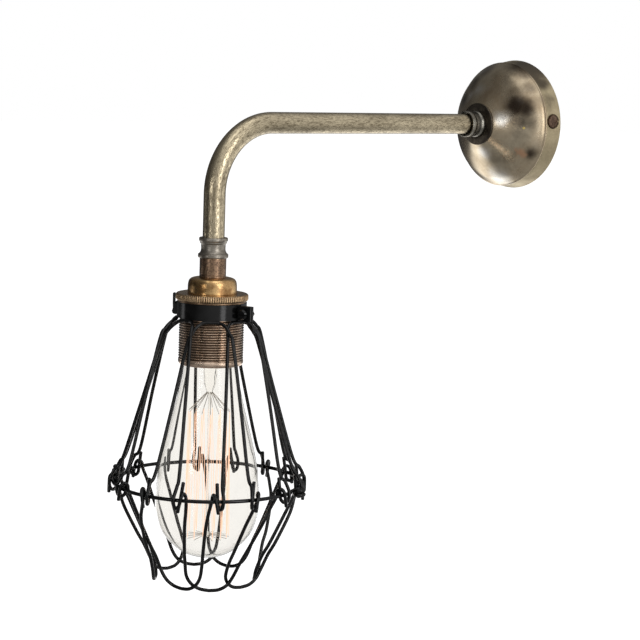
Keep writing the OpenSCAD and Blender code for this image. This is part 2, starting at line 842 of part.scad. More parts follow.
// one leg of a top hairpin from the middle of its arch to the end of its hook;
// s is the side, h its spread at the ring, w the side to which the hook's tail leans
// and f the part of the full width that the arch keeps on this side
function top_twist(z) = 4.5 * (z - z_ring) / (z_arch - z_ring);
function hook_at(c, s, h, w, r, t, z) =
    about(r, c + s * h + w * t / ring_r * 180 / PI + (z > z_ring ? top_twist(z) : 0), z);
function top_leg(c, s, h, w, f) = let (
    k = wire_d / 2.2,
    o = wire_d * 0.53,
    arch = [for (q = [[0, 0, 0, 0], [4.6, 0.2, -0.2, 0.1], [8.4 * min(1, f + 0.2), 2.3, -2.2, 0.75],
        [10.9 * f, 5.3, -5.9, 1], [13.5 * f, 8.3, -12.4, 1]])
        [s * k * q[0], collar_r + k * q[1] + s * 0.77 * o * q[3], z_arch + k * q[2] + s * 0.63 * o * q[3]]],
    knee_r = ring_r - 5.1 * k,
    knee_z = z_ring + 14.2 * k,
    knee = [s * knee_r * sin(h - 0.5), knee_r * cos(h - 0.5), knee_z],
    mid = (arch[4] + knee) / 2 + [0, 0.2 * o * s, 0],
    body = [for (q = concat(arch, [mid, knee])) beside(c + top_twist(q[2]), q[0], q[1], q[2])],
    hook = [for (q = [[-0.6, 0, 7.7], [2.2, -0.6, 1.7], [1.9, -0.3, -3], [0, 0.7, -4.6], [-1.9, 1.6, -3],
        [-2.2, 2.2, 0.7], [-3.2, 3, 9.7]])
        hook_at(c, s, h, w, ring_r + k * q[0], k * q[1], z_ring + k * q[2])])
    smooth(concat(body, hook), 2);

// a whole top hairpin; a leg next to the split stands close so that the halves can part,
// and its side of the arch keeps the part of its width given as left or right
module top_hairpin(k, left = 1, right = 1) {
    c = first_pin + 45 * k;
    hl = left < 1 ? 13.5 : top_half;
    hr = right < 1 ? 13.5 : top_half;
    l = top_leg(c, -1, hl, left < 1 ? 1 : -1, left);
    r = top_leg(c, 1, hr, right < 1 ? -1 : 1, right);
    color([0.03, 0.03, 0.03])
        wire(concat(flip(l), [for (i = [1 : len(r) - 1]) r[i]]), wr, 8);
}

module top_1() {
    top_hairpin(0);
}

module top_2() {
    top_hairpin(1, right = 0.8);
}

module top_3() {
    top_hairpin(2, left = 0.8);
}

module top_4() {
    top_hairpin(3);
}

module top_5() {
    top_hairpin(4);
}

module top_6() {
    top_hairpin(5, right = 0.66);
}

module top_7() {
    top_hairpin(6, left = 0.7);
}

module top_8() {
    top_hairpin(7);
}

// one leg of a bottom loop from its hook to the middle of its bottom;
// lean turns the bottom of the loop against its hooks, stop ends the leg short of the middle
function low_leg(c, s, lean, stop = 0) = let (
    h = low_half,
    k = wire_d / 2.2,
    o = wire_d * 0.59,
    hook = [for (q = [[2.35, 3.4, -6.3], [2.2, 2.3, -0.3], [1.7, 1.5, 2.8], [0, 0.8, 4], [-1.8, 0.2, 2.6],
        [-2.2, -0.3, -0.8]])
        about(ring_r + k * q[0], c + s * h + s * k * q[1] / ring_r * 180 / PI, z_ring + k * q[2])],
    across = ring_r / 56.6,
    dr = ring_r - bowl_r,
    low = [for (q = [[25, 0.583, 0.14, 0.35], [22.6, 0.492, 0.3, 1], [18.3, 0.277, 0.569, 1],
        [16, 0.144, 0.704, 1],
        [13.6, 0.053, 0.847, 1], [10.3, 0.023, 0.936, 1], [5.6, 0.008, 0.985, 0.8], [stop, 0, 1, 0]])
        beside(c + lean * min(1, 1.17 * q[2]), s * across * q[0], bowl_r + dr * q[1] + s * o * q[3],
            z_ring - bowl_h * q[2])])
    smooth(concat(hook, low), 2);

// turn of the bottoms of the eight loops, in order round the guard
lean = [0, -13, -17.5, -18, 2, -4, -13, -12];

module low_loop(k) {
    c = first_pin - 22.5 + 45 * k;
    l = low_leg(c, -1, lean[k]);
    r = low_leg(c, 1, lean[k]);
    color([0.03, 0.03, 0.03])
        wire(concat(l, [for (i = [len(r) - 2 : -1 : 0]) r[i]]), wr, 8);
}

module low_end(k, s) {
    c = first_pin - 22.5 + 45 * k;
    color([0.03, 0.03, 0.03])
        wire(low_leg(c, s, lean[k], 0.35), wr, 8);
}

module low_1() {
    low_loop(0);
}

module low_2() {
    low_loop(1);
}

module low_4() {
    low_loop(3);
}

module low_5() {
    low_loop(4);
}

module low_6() {
    low_loop(5);
}

module low_8() {
    low_loop(7);
}

module low_ends_front() {
    low_end(2, -1);
    low_end(6, 1);
}

module low_ends_back() {
    low_end(2, 1);
    low_end(6, -1);
}

// ---- bulb ----

cap_in = cap_r - 1.1;
z_cap = z_lip + 4;
cap_l = 19.5;
z_neck = z_lip + 9.5;

// outside of the glass below its neck: [part of the greatest radius, part of the length]
function glass_out() = smooth([for (q = [[0.5, 0], [0.555, 0.085], [0.66, 0.21], [0.822, 0.374],
    [0.951, 0.528],
    [1, 0.672], [0.997, 0.757], [0.868, 0.868], [0.568, 0.953], [0.29, 0.989], [0, 1]])
    [bulb_r * q[0], z_lip - bulb_l * q[1]]], 3);

module bulb_glass() {
    o = concat([[cap_in, z_neck], [cap_in, z_cap], [cap_in + 0.9, z_cap - 0.6],
        [cap_in + 2.3, z_cap - 2.4]],
        glass_out());
    m = len(o);
    inner = [for (i = [m - 2 : -1 : 0]) let (a = o[max(i - 1, 0)], b = o[i + 1])
        o[i] - glass_t * unit([a[1] - b[1], b[0] - a[0]])];
    color([0.95, 0.85, 0.7, 0.35])
        lathe(concat([for (i = [0 : m - 2]) o[i]], [[0, z_lip - bulb_l], [0, z_lip - bulb_l + glass_t]],
            [for (i = [0 : m - 3]) [max(inner[i][0], 0.2), inner[i][1]]], [[cap_in - glass_t, z_neck]]));
}

module bulb_cap() {
    turn = 3.62;
    low = z_cap + 1;
    n = floor((cap_l - 3) / turn * 6);
    wave = [for (i = [0 : n]) [cap_r - 0.4 * (1 - cos(60 * i)), low + i * turn / 6]];
    color([0.8, 0.7, 0.45])
        lathe(concat([[cap_in, z_cap], [cap_r, z_cap]], wave, [[cap_r - 0.5, z_cap + cap_l - 0.8],
            [cap_r - 1.6, z_cap + cap_l], [cap_in - 3, z_cap + cap_l], [cap_in - 3, z_cap + cap_l - 0.5],
            [cap_in - 0.6, z_cap + cap_l - 0.9], [cap_in, z_cap + cap_l - 1.5]]));
}

z_tip = z_base - 0.6 - 0.4;

module cap_insulator() {
    top = z_tip - 1.2;
    color([0.08, 0.06, 0.08])
        lathe([[0, z_cap + cap_l], [cap_in - 1, z_cap + cap_l],
            [cap_in - 3, (z_cap + cap_l + top) / 2 + 0.6],
            [5.6, top], [0, top]]);
}

module tip_contact() {
    top = z_tip - 1.2;
    color([0.75, 0.75, 0.74])
        lathe([[0, top], [4.8, top], [4.4, top + 0.7], [3, z_tip - 0.1], [0, z_tip]]);
}

stem_z = z_lip - 18;
fil_top = z_lip - 28.5;
fil_low = z_lip - (bulb_l - 12.5);
fil_r = 13.5;
strands = 15;
spoke_r = 0.17;
thread_r = 0.17;
hang = spoke_r + thread_r + 0.02;

// outside of the stem: [radius, height]
function stem_out() = let (r = cap_in - glass_t) [[0, z_neck - 1.2], [4, z_neck - 1.2], [r - 2, z_neck],
    [r, z_neck],
    [r, z_neck - 0.8], [5, z_neck - 3], [4.2, z_neck - 12], [3.6, stem_z + 6], [1.6, stem_z],
    [0.9, stem_z - 2],
    [0.9, fil_low + 3], [1.7, fil_low + 2], [1.7, fil_low + 0.5], [0.9, fil_low - 0.5], [0, fil_low - 0.8]];

module glass_stem() {
    color([0.9, 0.92, 0.92, 0.5])
        lathe(stem_out());
}

function spoke_at(i) = 180 * i / strands + 8;
// corners of the filament, by turns at the top and at the bottom
function corner(i) = about(fil_r * (i % 2 == 0 ? 0.92 : 1), spoke_at(i), i % 2 == 0 ? fil_top : fil_low);

// wire spokes from the stem to the corners of the filament
module filament_supports() {
    color([0.35, 0.33, 0.3])
        difference() {
            for (i = [0 : 2 * strands - 1])
                bar(about(0.6, spoke_at(i), i % 2 == 0 ? stem_z + 2 : fil_low + 1.2), corner(i), spoke_r);
            lathe(stem_out());
        }
}

module filament() {
    color([1, 0.55, 0.15])
        wire([for (i = [0 : 2 * strands - 1]) let (turn = corner(i) + [0, 0, i % 2 == 0 ? -hang : hang])
            each [turn + 0.25 * unit(corner(max(i - 1, 0)) - corner(i) + [0.01, 0, 0]),
            turn + 0.25 * unit(corner(i + 1) - corner(i))]], thread_r, 6);
}

wall_bracket();
earth_screw();
terminal_block();
block_screws();
rose_cover();
rose_screw_right();
rose_screw_left();
boss_disc();
ferrule();
lock_nuts();
upper_nipple();
arm_tube();
coupling();
lower_nipple();
sleeve();
holder_cap();
coin_rim();
shoulder_ring();
threaded_skirt();
holder_insert();
screw_shell();
centre_contact();
terminal_posts();
terminal_screws();
wire_live();
wire_neutral();
wire_earth();
collar_back();
collar_front();
hinge_tab();
hinge_pin();
clamp_nut();
clamp_screw();
ring_back();
ring_front();
hinge_rivet();
top_1();
top_2();
top_3();
top_4();
top_5();
top_6();
top_7();
top_8();
low_1();
low_2();
low_4();
low_5();
low_6();
low_8();
low_ends_front();
low_ends_back();
bulb_glass();
bulb_cap();
cap_insulator();
tip_contact();
glass_stem();
filament_supports();
filament();
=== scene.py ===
import bpy
import bmesh
import numpy as np
from mathutils import Matrix


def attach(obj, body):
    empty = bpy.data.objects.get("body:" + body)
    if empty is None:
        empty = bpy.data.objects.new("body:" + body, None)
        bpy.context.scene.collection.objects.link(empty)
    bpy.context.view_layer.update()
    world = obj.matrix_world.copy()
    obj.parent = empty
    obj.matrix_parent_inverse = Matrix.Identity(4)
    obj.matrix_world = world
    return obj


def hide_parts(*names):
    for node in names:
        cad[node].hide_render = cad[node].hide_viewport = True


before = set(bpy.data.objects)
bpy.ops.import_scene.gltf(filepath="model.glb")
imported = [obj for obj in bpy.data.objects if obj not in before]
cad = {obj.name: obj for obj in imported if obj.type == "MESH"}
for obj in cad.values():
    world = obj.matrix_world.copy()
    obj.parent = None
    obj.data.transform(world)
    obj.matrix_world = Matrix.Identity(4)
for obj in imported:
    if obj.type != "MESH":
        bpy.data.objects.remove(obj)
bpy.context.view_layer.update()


# ---------------------------------------------------------------- the studio
# A pale floor a hand's breadth under the lamp, a white surround, three soft lamps and a long lens to
# the right of the arm, a little above the lamp, as the photograph was taken.
camera_data = bpy.data.cameras.new("camera")
camera_data.sensor_fit = "HORIZONTAL"
camera_data.sensor_width = 36.0
camera_data.lens = 108.99
camera_data.clip_start = 0.05
camera = bpy.data.objects.new("camera", camera_data)
bpy.context.collection.objects.link(camera)
bpy.context.scene.camera = camera
camera_place = (0.9052, -0.9470, 0.0359)
yaw, pitch, roll = np.radians([49.194, 7.525, 1.826])
ahead = np.array([-np.sin(yaw) * np.cos(pitch), np.cos(yaw) * np.cos(pitch), -np.sin(pitch)])
level = np.array([np.cos(yaw), np.sin(yaw), 0.0])
upward = np.cross(level, ahead)
side = np.cos(roll) * level + np.sin(roll) * upward
top = -np.sin(roll) * level + np.cos(roll) * upward
place = np.eye(4)
place[:3, 0], place[:3, 1], place[:3, 2], place[:3, 3] = side, top, -ahead, camera_place
camera.matrix_world = Matrix(place.tolist())


def soft_lamp(name, size, power, bearing, height, distance, aim=(0.0, -0.2, -0.12)):
    """An area lamp at a bearing (degrees from the front towards the right) and height angle, facing aim."""
    lamp_data = bpy.data.lights.new(name, "AREA")
    lamp_data.shape = "RECTANGLE"
    lamp_data.size, lamp_data.size_y = size
    lamp_data.energy = power
    lamp = bpy.data.objects.new(name, lamp_data)
    bpy.context.collection.objects.link(lamp)
    b, h = np.radians(bearing), np.radians(height)
    away = np.array([np.sin(b) * np.cos(h), -np.cos(b) * np.cos(h), np.sin(h)])
    across = np.array([np.cos(b), np.sin(b), 0.0])
    turn = np.eye(4)
    turn[:3, 0], turn[:3, 1], turn[:3, 2] = across, np.cross(away, across), away
    turn[:3, 3] = np.array(aim) + distance * away
    lamp.matrix_world = Matrix(turn.tolist())


soft_lamp("key_softbox", (0.38, 1.1), 4.8, 88.0, 12.0, 1.3)
soft_lamp("front_softbox", (0.26, 0.3), 1.6, 13.0, 8.0, 1.3)
soft_lamp("top_softbox", (1.0, 1.0), 2.4, 60.0, 76.0, 1.2)

floor_half, floor_height = 9.0, -0.36
floor_mesh = bpy.data.meshes.new("floor")
floor_mesh.from_pydata([(floor_half * x, floor_half * y, floor_height)
                        for x, y in ((-1, -1), (1, -1), (1, 1), (-1, 1))], [], [(0, 1, 2, 3)])
floor = bpy.data.objects.new("floor", floor_mesh)
bpy.context.collection.objects.link(floor)
floor_paint = bpy.data.materials.new("floor_paint")
floor_paint.use_nodes = True
floor_look = floor_paint.node_tree.nodes["Principled BSDF"]
floor_look.inputs["Base Color"].default_value = (0.86, 0.86, 0.86, 1)
floor_look.inputs["Roughness"].default_value = 0.9
floor_look.inputs["Emission Color"].default_value = (1, 1, 1, 1)
floor_mesh.materials.append(floor_paint)

world = bpy.data.worlds.new("surround")
bpy.context.scene.world = world
world.use_nodes = True
sky = world.node_tree
sky.nodes.clear()


def add(tree, kind, **inputs):
    """A new node of a kind, with its named inputs set."""
    node = tree.nodes.new(kind)
    for key, value in inputs.items():
        node.inputs[key.replace("_", " ")].default_value = value
    return node


# the paper is white to the camera and through the glass; polished metal sees it bright on the right
# and in a strip behind the light, and dark on the left
paper = floor_paint.node_tree
rays = add(paper, "ShaderNodeLightPath")
spot = add(paper, "ShaderNodeTexCoord")
camera_glow = add(paper, "ShaderNodeMath")
camera_glow.operation = "MULTIPLY"
camera_glow.inputs[1].default_value = 0.75
paper.links.new(rays.outputs["Is Camera Ray"], camera_glow.inputs[0])
paper.links.new(camera_glow.outputs[0], floor_look.inputs["Emission Strength"])
rightward = add(paper, "ShaderNodeVectorMath")
rightward.operation = "DOT_PRODUCT"
rightward.inputs[1].default_value = (0.953, 0.303, 0.0)
right_glow = add(paper, "ShaderNodeMapRange", From_Min=-1.3, From_Max=1.8, To_Min=0.07, To_Max=0.8)
right_glow.interpolation_type = "SMOOTHSTEP"
backward = add(paper, "ShaderNodeVectorMath")
backward.operation = "DOT_PRODUCT"
backward.inputs[1].default_value = (-0.757, 0.653, 0.0)
back_span = add(paper, "ShaderNodeMapRange", From_Min=0.0, From_Max=2.0)
back_glow = add(paper, "ShaderNodeValToRGB")
back_glow.color_ramp.elements[0].position = 0.02
back_glow.color_ramp.elements[0].color = (0, 0, 0, 1)
back_glow.color_ramp.elements[1].position = 0.36
back_glow.color_ramp.elements[1].color = (0, 0, 0, 1)
for where in (0.12, 0.2):
    back_glow.color_ramp.elements.new(where).color = (1.5, 1.5, 1.5, 1)
paper.links.new(spot.outputs["Object"], rightward.inputs[0])
paper.links.new(rightward.outputs["Value"], right_glow.inputs["Value"])
paper.links.new(spot.outputs["Object"], backward.inputs[0])
paper.links.new(backward.outputs["Value"], back_span.inputs["Value"])
paper.links.new(back_span.outputs[0], back_glow.inputs["Fac"])
mirror_glow = add(paper, "ShaderNodeMath")
mirror_glow.operation = "ADD"
paper.links.new(right_glow.outputs[0], mirror_glow.inputs[0])
paper.links.new(back_glow.outputs["Color"], mirror_glow.inputs[1])
through = add(paper, "ShaderNodeEmission", Strength=0.98)
mirrored = add(paper, "ShaderNodeEmission")
paper.links.new(mirror_glow.outputs[0], mirrored.inputs["Strength"])
pick_through, pick_mirrored = add(paper, "ShaderNodeMixShader"), add(paper, "ShaderNodeMixShader")
paper.links.new(rays.outputs["Is Glossy Ray"], pick_mirrored.inputs["Fac"])
paper.links.new(floor_look.outputs[0], pick_mirrored.inputs[1])
paper.links.new(mirrored.outputs[0], pick_mirrored.inputs[2])
paper.links.new(rays.outputs["Is Transmission Ray"], pick_through.inputs["Fac"])
paper.links.new(pick_mirrored.outputs[0], pick_through.inputs[1])
paper.links.new(through.outputs[0], pick_through.inputs[2])
paper.links.new(pick_through.outputs[0], paper.nodes["Material Output"].inputs["Surface"])

sky_out = add(sky, "ShaderNodeOutputWorld")
sky_white = add(sky, "ShaderNodeBackground", Color=(1, 1, 1, 1), Strength=1.0)
sky_light = add(sky, "ShaderNodeBackground", Color=(1, 1, 1, 1), Strength=0.42)
sky_pick = add(sky, "ShaderNodeMixShader")
sky_rays = add(sky, "ShaderNodeLightPath")
seen = add(sky, "ShaderNodeMath")
seen.operation = "MAXIMUM"
sky.links.new(sky_rays.outputs["Is Camera Ray"], seen.inputs[0])
sky.links.new(sky_rays.outputs["Is Transmission Ray"], seen.inputs[1])
# polished metal sees a dark room on the left of the camera and pale screens on its right
room_place = add(sky, "ShaderNodeTexCoord")
room_side = add(sky, "ShaderNodeVectorMath")
room_side.operation = "DOT_PRODUCT"
room_side.inputs[1].default_value = (0.8, 0.26, 0.54)
room_turn = add(sky, "ShaderNodeMapRange")
room_turn.inputs["From Min"].default_value = -1.0
room_ramp = add(sky, "ShaderNodeValToRGB")
room_ramp.color_ramp.elements[0].position = 0.2
room_ramp.color_ramp.elements[0].color = (0.07, 0.07, 0.07, 1)
room_ramp.color_ramp.elements[1].position = 0.88
room_ramp.color_ramp.elements[1].color = (0.85, 0.85, 0.85, 1)
room_mid = room_ramp.color_ramp.elements.new(0.55)
room_mid.color = (0.2, 0.2, 0.2, 1)
sky.links.new(room_place.outputs["Generated"], room_side.inputs[0])
sky.links.new(room_side.outputs["Value"], room_turn.inputs["Value"])
sky.links.new(room_turn.outputs["Result"], room_ramp.inputs["Fac"])
sky_room = add(sky, "ShaderNodeBackground", Strength=1.0)
sky.links.new(room_ramp.outputs["Color"], sky_room.inputs["Color"])
glossy_pick = add(sky, "ShaderNodeMixShader")
sky.links.new(sky_rays.outputs["Is Glossy Ray"], glossy_pick.inputs["Fac"])
sky.links.new(sky_light.outputs[0], glossy_pick.inputs[1])
sky.links.new(sky_room.outputs[0], glossy_pick.inputs[2])
sky.links.new(seen.outputs[0], sky_pick.inputs["Fac"])
sky.links.new(glossy_pick.outputs[0], sky_pick.inputs[1])
sky.links.new(sky_white.outputs[0], sky_pick.inputs[2])
sky.links.new(sky_pick.outputs[0], sky_out.inputs["Surface"])
bpy.context.scene.view_settings.view_transform = "Standard"


# ---------------------------------------------------------------- wall bracket and earth screw
# A zinc plated steel strap with two turned ears, screwed to the wall through its slots. The rose's
# side screws bite in the ears; a brass screw takes the earth core.
def worn_metal_group():
    """Two tones of one metal: cloudy blotches, fine speckle, and the roughness and height to match."""
    group = bpy.data.node_groups.new("worn metal", "ShaderNodeTree")
    face = group.interface
    for name, kind, value in (
            ("Bright", "NodeSocketColor", (0.8, 0.8, 0.8, 1)),
            ("Dark", "NodeSocketColor", (0.1, 0.1, 0.1, 1)),
            ("Blotch Scale", "NodeSocketFloat", 60.0), ("Blotch Amount", "NodeSocketFloat", 0.5),
            ("Speckle Scale", "NodeSocketFloat", 900.0), ("Speckle Amount", "NodeSocketFloat", 0.3),
            ("Rough Low", "NodeSocketFloat", 0.2), ("Rough High", "NodeSocketFloat", 0.5)):
        face.new_socket(name, in_out="INPUT", socket_type=kind).default_value = value
    face.new_socket("Vector", in_out="INPUT", socket_type="NodeSocketVector")
    face.new_socket("Color", in_out="OUTPUT", socket_type="NodeSocketColor")
    face.new_socket("Roughness", in_out="OUTPUT", socket_type="NodeSocketFloat")
    face.new_socket("Height", in_out="OUTPUT", socket_type="NodeSocketFloat")
    start, end = group.nodes.new("NodeGroupInput"), group.nodes.new("NodeGroupOutput")
    link = group.links.new
    clouds = add(group, "ShaderNodeTexNoise", Detail=5.0, Roughness=0.55, Distortion=0.6)
    specks = add(group, "ShaderNodeTexNoise", Detail=3.0, Roughness=0.7)
    for noise, size in ((clouds, "Blotch Scale"), (specks, "Speckle Scale")):
        link(start.outputs["Vector"], noise.inputs["Vector"])
        link(start.outputs[size], noise.inputs["Scale"])
    firm = add(group, "ShaderNodeMapRange", From_Min=0.36, From_Max=0.64)
    grit = add(group, "ShaderNodeMapRange", From_Min=0.42, From_Max=0.62)
    link(clouds.outputs["Fac"], firm.inputs["Value"])
    link(specks.outputs["Fac"], grit.inputs["Value"])
    blot = add(group, "ShaderNodeMath")
    blot.operation = "MULTIPLY"
    link(firm.outputs[0], blot.inputs[0])
    link(start.outputs["Blotch Amount"], blot.inputs[1])
    dust = add(group, "ShaderNodeMath")
    dust.operation = "MULTIPLY"
    link(grit.outputs[0], dust.inputs[0])
    link(start.outputs["Speckle Amount"], dust.inputs[1])
    both = add(group, "ShaderNodeMath")
    both.operation = "ADD"
    both.use_clamp = True
    link(blot.outputs[0], both.inputs[0])
    link(dust.outputs[0], both.inputs[1])
    tone = add(group, "ShaderNodeMix")
    tone.data_type = "RGBA"
    link(both.outputs[0], tone.inputs["Factor"])
    link(start.outputs["Bright"], tone.inputs[6])
    link(start.outputs["Dark"], tone.inputs[7])
    rough = add(group, "ShaderNodeMapRange")
    link(both.outputs[0], rough.inputs["Value"])
    link(start.outputs["Rough Low"], rough.inputs["To Min"])
    link(start.outputs["Rough High"], rough.inputs["To Max"])
    link(tone.outputs[2], end.inputs["Color"])
    link(rough.outputs[0], end.inputs["Roughness"])
    link(both.outputs[0], end.inputs["Height"])
    return group


worn_metal = worn_metal_group()


def metal(name, bright, dark, blotch, speckle, rough, bump=0.05, skin=None):
    """A metal of the worn group: blotch and speckle are (scale per metre, amount), rough is (low, high)
    and skin names the mesh attribute that the pattern follows in place of the object's own coordinates."""
    paint = bpy.data.materials.new(name)
    paint.use_nodes = True
    tree = paint.node_tree
    look = tree.nodes["Principled BSDF"]
    look.inputs["Metallic"].default_value = 1.0
    spot = tree.nodes.new("ShaderNodeTexCoord")
    wear = tree.nodes.new("ShaderNodeGroup")
    wear.node_tree = worn_metal
    for key, value in (("Bright", (*bright, 1)), ("Dark", (*dark, 1)), ("Blotch Scale", blotch[0]),
                       ("Blotch Amount", blotch[1]), ("Speckle Scale", speckle[0]),
                       ("Speckle Amount", speckle[1]), ("Rough Low", rough[0]), ("Rough High", rough[1])):
        wear.inputs[key].default_value = value
    if skin:
        tree.nodes.remove(spot)
        spot = tree.nodes.new("ShaderNodeAttribute")
        spot.attribute_name = skin
    tree.links.new(spot.outputs["Vector" if skin else "Object"], wear.inputs["Vector"])
    tree.links.new(wear.outputs["Color"], look.inputs["Base Color"])
    tree.links.new(wear.outputs["Roughness"], look.inputs["Roughness"])
    dent = add(tree, "ShaderNodeBump", Strength=bump, Distance=0.001)
    tree.links.new(wear.outputs["Height"], dent.inputs["Height"])
    tree.links.new(dent.outputs["Normal"], look.inputs["Normal"])
    return paint


def finish_nodes(paint, *names):
    """Gives CAD nodes one material."""
    for name in names:
        cad[name].data.materials.clear()
        cad[name].data.materials.append(paint)


zinc_plate = metal("zinc_plate", (0.78, 0.79, 0.8), (0.5, 0.52, 0.55), (90, 0.7), (700, 0.4), (0.3, 0.5))
bright_brass = metal("bright_brass", (0.86, 0.68, 0.33), (0.5, 0.36, 0.16), (120, 0.5), (900, 0.3),
                     (0.22, 0.45))
finish_nodes(zinc_plate, "wall_bracket")
finish_nodes(bright_brass, "earth_screw", "block_screws")


# ---------------------------------------------------------------- terminal block and cores
# A moulded white three way block stands on the bracket's tongue. Brown, blue and green-yellow
# cores run from it through the hollow nipples and the arm to the lampholder.
def moulded(name, colour, rough=0.45, scale=600.0):
    """A moulded plastic: one colour with a faint cloudy change and a fine skin texture."""
    paint = bpy.data.materials.new(name)
    paint.use_nodes = True
    tree = paint.node_tree
    look = tree.nodes["Principled BSDF"]
    spot = tree.nodes.new("ShaderNodeTexCoord")
    grain = add(tree, "ShaderNodeTexNoise", Scale=scale, Detail=3.0)
    tree.links.new(spot.outputs["Object"], grain.inputs["Vector"])
    tone = add(tree, "ShaderNodeMix")
    tone.data_type = "RGBA"
    tone.inputs[6].default_value = (*colour, 1)
    tone.inputs[7].default_value = (*[0.8 * c for c in colour], 1)
    tree.links.new(grain.outputs["Fac"], tone.inputs["Factor"])
    tree.links.new(tone.outputs[2], look.inputs["Base Color"])
    look.inputs["Roughness"].default_value = rough
    dent = add(tree, "ShaderNodeBump", Strength=0.15, Distance=0.0002)
    tree.links.new(grain.outputs["Fac"], dent.inputs["Height"])
    tree.links.new(dent.outputs["Normal"], look.inputs["Normal"])
    return paint


finish_nodes(moulded("block_white", (0.9, 0.89, 0.85)), "terminal_block")
finish_nodes(moulded("core_brown", (0.25, 0.1, 0.05), 0.3), "wire_live")
finish_nodes(moulded("core_blue", (0.05, 0.16, 0.45), 0.3), "wire_neutral")
finish_nodes(moulded("core_green_yellow", (0.1, 0.42, 0.08), 0.3), "wire_earth")


# ---------------------------------------------------------------- rose
# A brass disc spun to a shallow band and a domed front, with dark clouds that are partly tarnish and partly
# painted shade, and bright patches that are painted highlights. Two side screws in pressed cups hold it to
# the bracket.
rose_back, rose_edge, rose_band, rose_depth, rose_wall = 42.38, 40.3, 11.4, 33.2, 1.2
rose_hole = 5.2
cup_reach, cup_lip, cup_height, cup_floor, cup_floor_inside = 4.55, 0.7, 3.5, 39.95, 38.9
band_side = 36.0
lamp_axis = -250.5


def through(points, steps):
    """Catmull-Rom curve through the points: each span is the cubic whose ends match the chord of its
    neighbours, with a number of steps a span."""
    p = np.asarray(points, float)
    q = np.vstack([p[0], p, p[-1]])
    t = (np.arange(steps) / steps)[None, :, None]
    a, b, c, d = (q[i:i + len(p) - 1, None, :] for i in range(4))
    curve = 0.5 * (2 * b + (c - a) * t + (2 * a - 5 * b + 4 * c - d) * t ** 2
                   + (3 * b - a - 3 * c + d) * t ** 3)
    return np.vstack([curve.reshape(-1, p.shape[1]), p[-1]])


def eased(points, cut, steps=5, closed=True):
    """Rounds the corners of an outline: each corner becomes a quadratic arc that starts and ends at
    most cut before and after it, or a third of the shorter side."""
    p = np.asarray(points, float)
    before, after = np.roll(p, 1, 0) - p, np.roll(p, -1, 0) - p
    lb, la = np.linalg.norm(before, axis=1), np.linalg.norm(after, axis=1)
    size = np.minimum(np.broadcast_to(cut, len(p)), np.minimum(lb, la) / 3)
    start = p + before * (size / lb)[:, None]
    end = p + after * (size / la)[:, None]
    t = np.linspace(0, 1, steps)[None, :, None]
    arc = (1 - t) ** 2 * start[:, None] + 2 * t * (1 - t) * p[:, None] + t ** 2 * end[:, None]
    out = arc.reshape(-1, 2)
    if not closed:
        out = np.vstack([p[:1], out[steps:-steps], p[-1:]])
    return out


def grid_mesh(name, grid, loop_rows, loop_columns=True):
    """A mesh on a grid of points (rows, columns, 3) in millimetres, one quad a cell, closed round the
    columns and, if loop_rows, round the rows; doubled points are merged and normals turned outwards."""
    rows, columns = grid.shape[:2]
    r = np.arange(rows if loop_rows else rows - 1)
    c = np.arange(columns if loop_columns else columns - 1)
    i, j = np.meshgrid(r, c, indexing="ij")
    k = lambda a, b: (a % rows) * columns + (b % columns)
    quads = np.stack([k(i, j), k(i, j + 1), k(i + 1, j + 1), k(i + 1, j)], -1).reshape(-1, 4)
    mesh = bpy.data.meshes.new(name)
    mesh.from_pydata((grid.reshape(-1, 3) * 0.001).tolist(), [], quads.tolist())
    work = bmesh.new()
    work.from_mesh(mesh)
    bmesh.ops.remove_doubles(work, verts=work.verts, dist=2e-7)
    bmesh.ops.recalc_face_normals(work, faces=work.faces)
    work.to_mesh(mesh)
    work.free()
    mesh.polygons.foreach_set("use_smooth", np.ones(len(mesh.polygons), bool))
    mesh.update()
    return mesh


def piece(name, mesh, paint, body, slot_name, *replaced):
    """Puts a mesh on its body, with its material, and hides the CAD nodes it stands for; the record slot is
    not used.
    """
    thing = bpy.data.objects.new(name, mesh)
    bpy.context.collection.objects.link(thing)
    mesh.materials.append(paint)
    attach(thing, body)
    if replaced:
        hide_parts(*replaced)
    return thing


def arm_turned(outline, steps=192):
    """Carries an outline of (radius, distance from the wall) round the arm's axis, in a number of equal
    steps or through the given angles."""
    p = np.asarray(outline, float)
    a = np.linspace(0, 2 * np.pi, steps, endpoint=False) if np.isscalar(steps) else steps
    return np.stack([p[:, :1] * np.sin(a), -p[:, 1:] + 0 * a, p[:, :1] * np.cos(a)], -1)


def lamp_turned(outline, steps=192):
    """Carries an outline of (radius, height) round the lamp's axis."""
    p = np.asarray(outline, float)
    a = np.linspace(0, 2 * np.pi, steps, endpoint=False)
    return np.stack([p[:, :1] * np.sin(a), lamp_axis - p[:, :1] * np.cos(a), p[:, 1:] + 0 * a], -1)


def offset_in(outline, by):
    """Moves an open outline to its left by a distance."""
    p = np.asarray(outline, float)
    d = np.gradient(p, axis=0)
    d /= np.linalg.norm(d, axis=1)[:, None]
    return p + by * np.stack([-d[:, 1], d[:, 0]], -1)


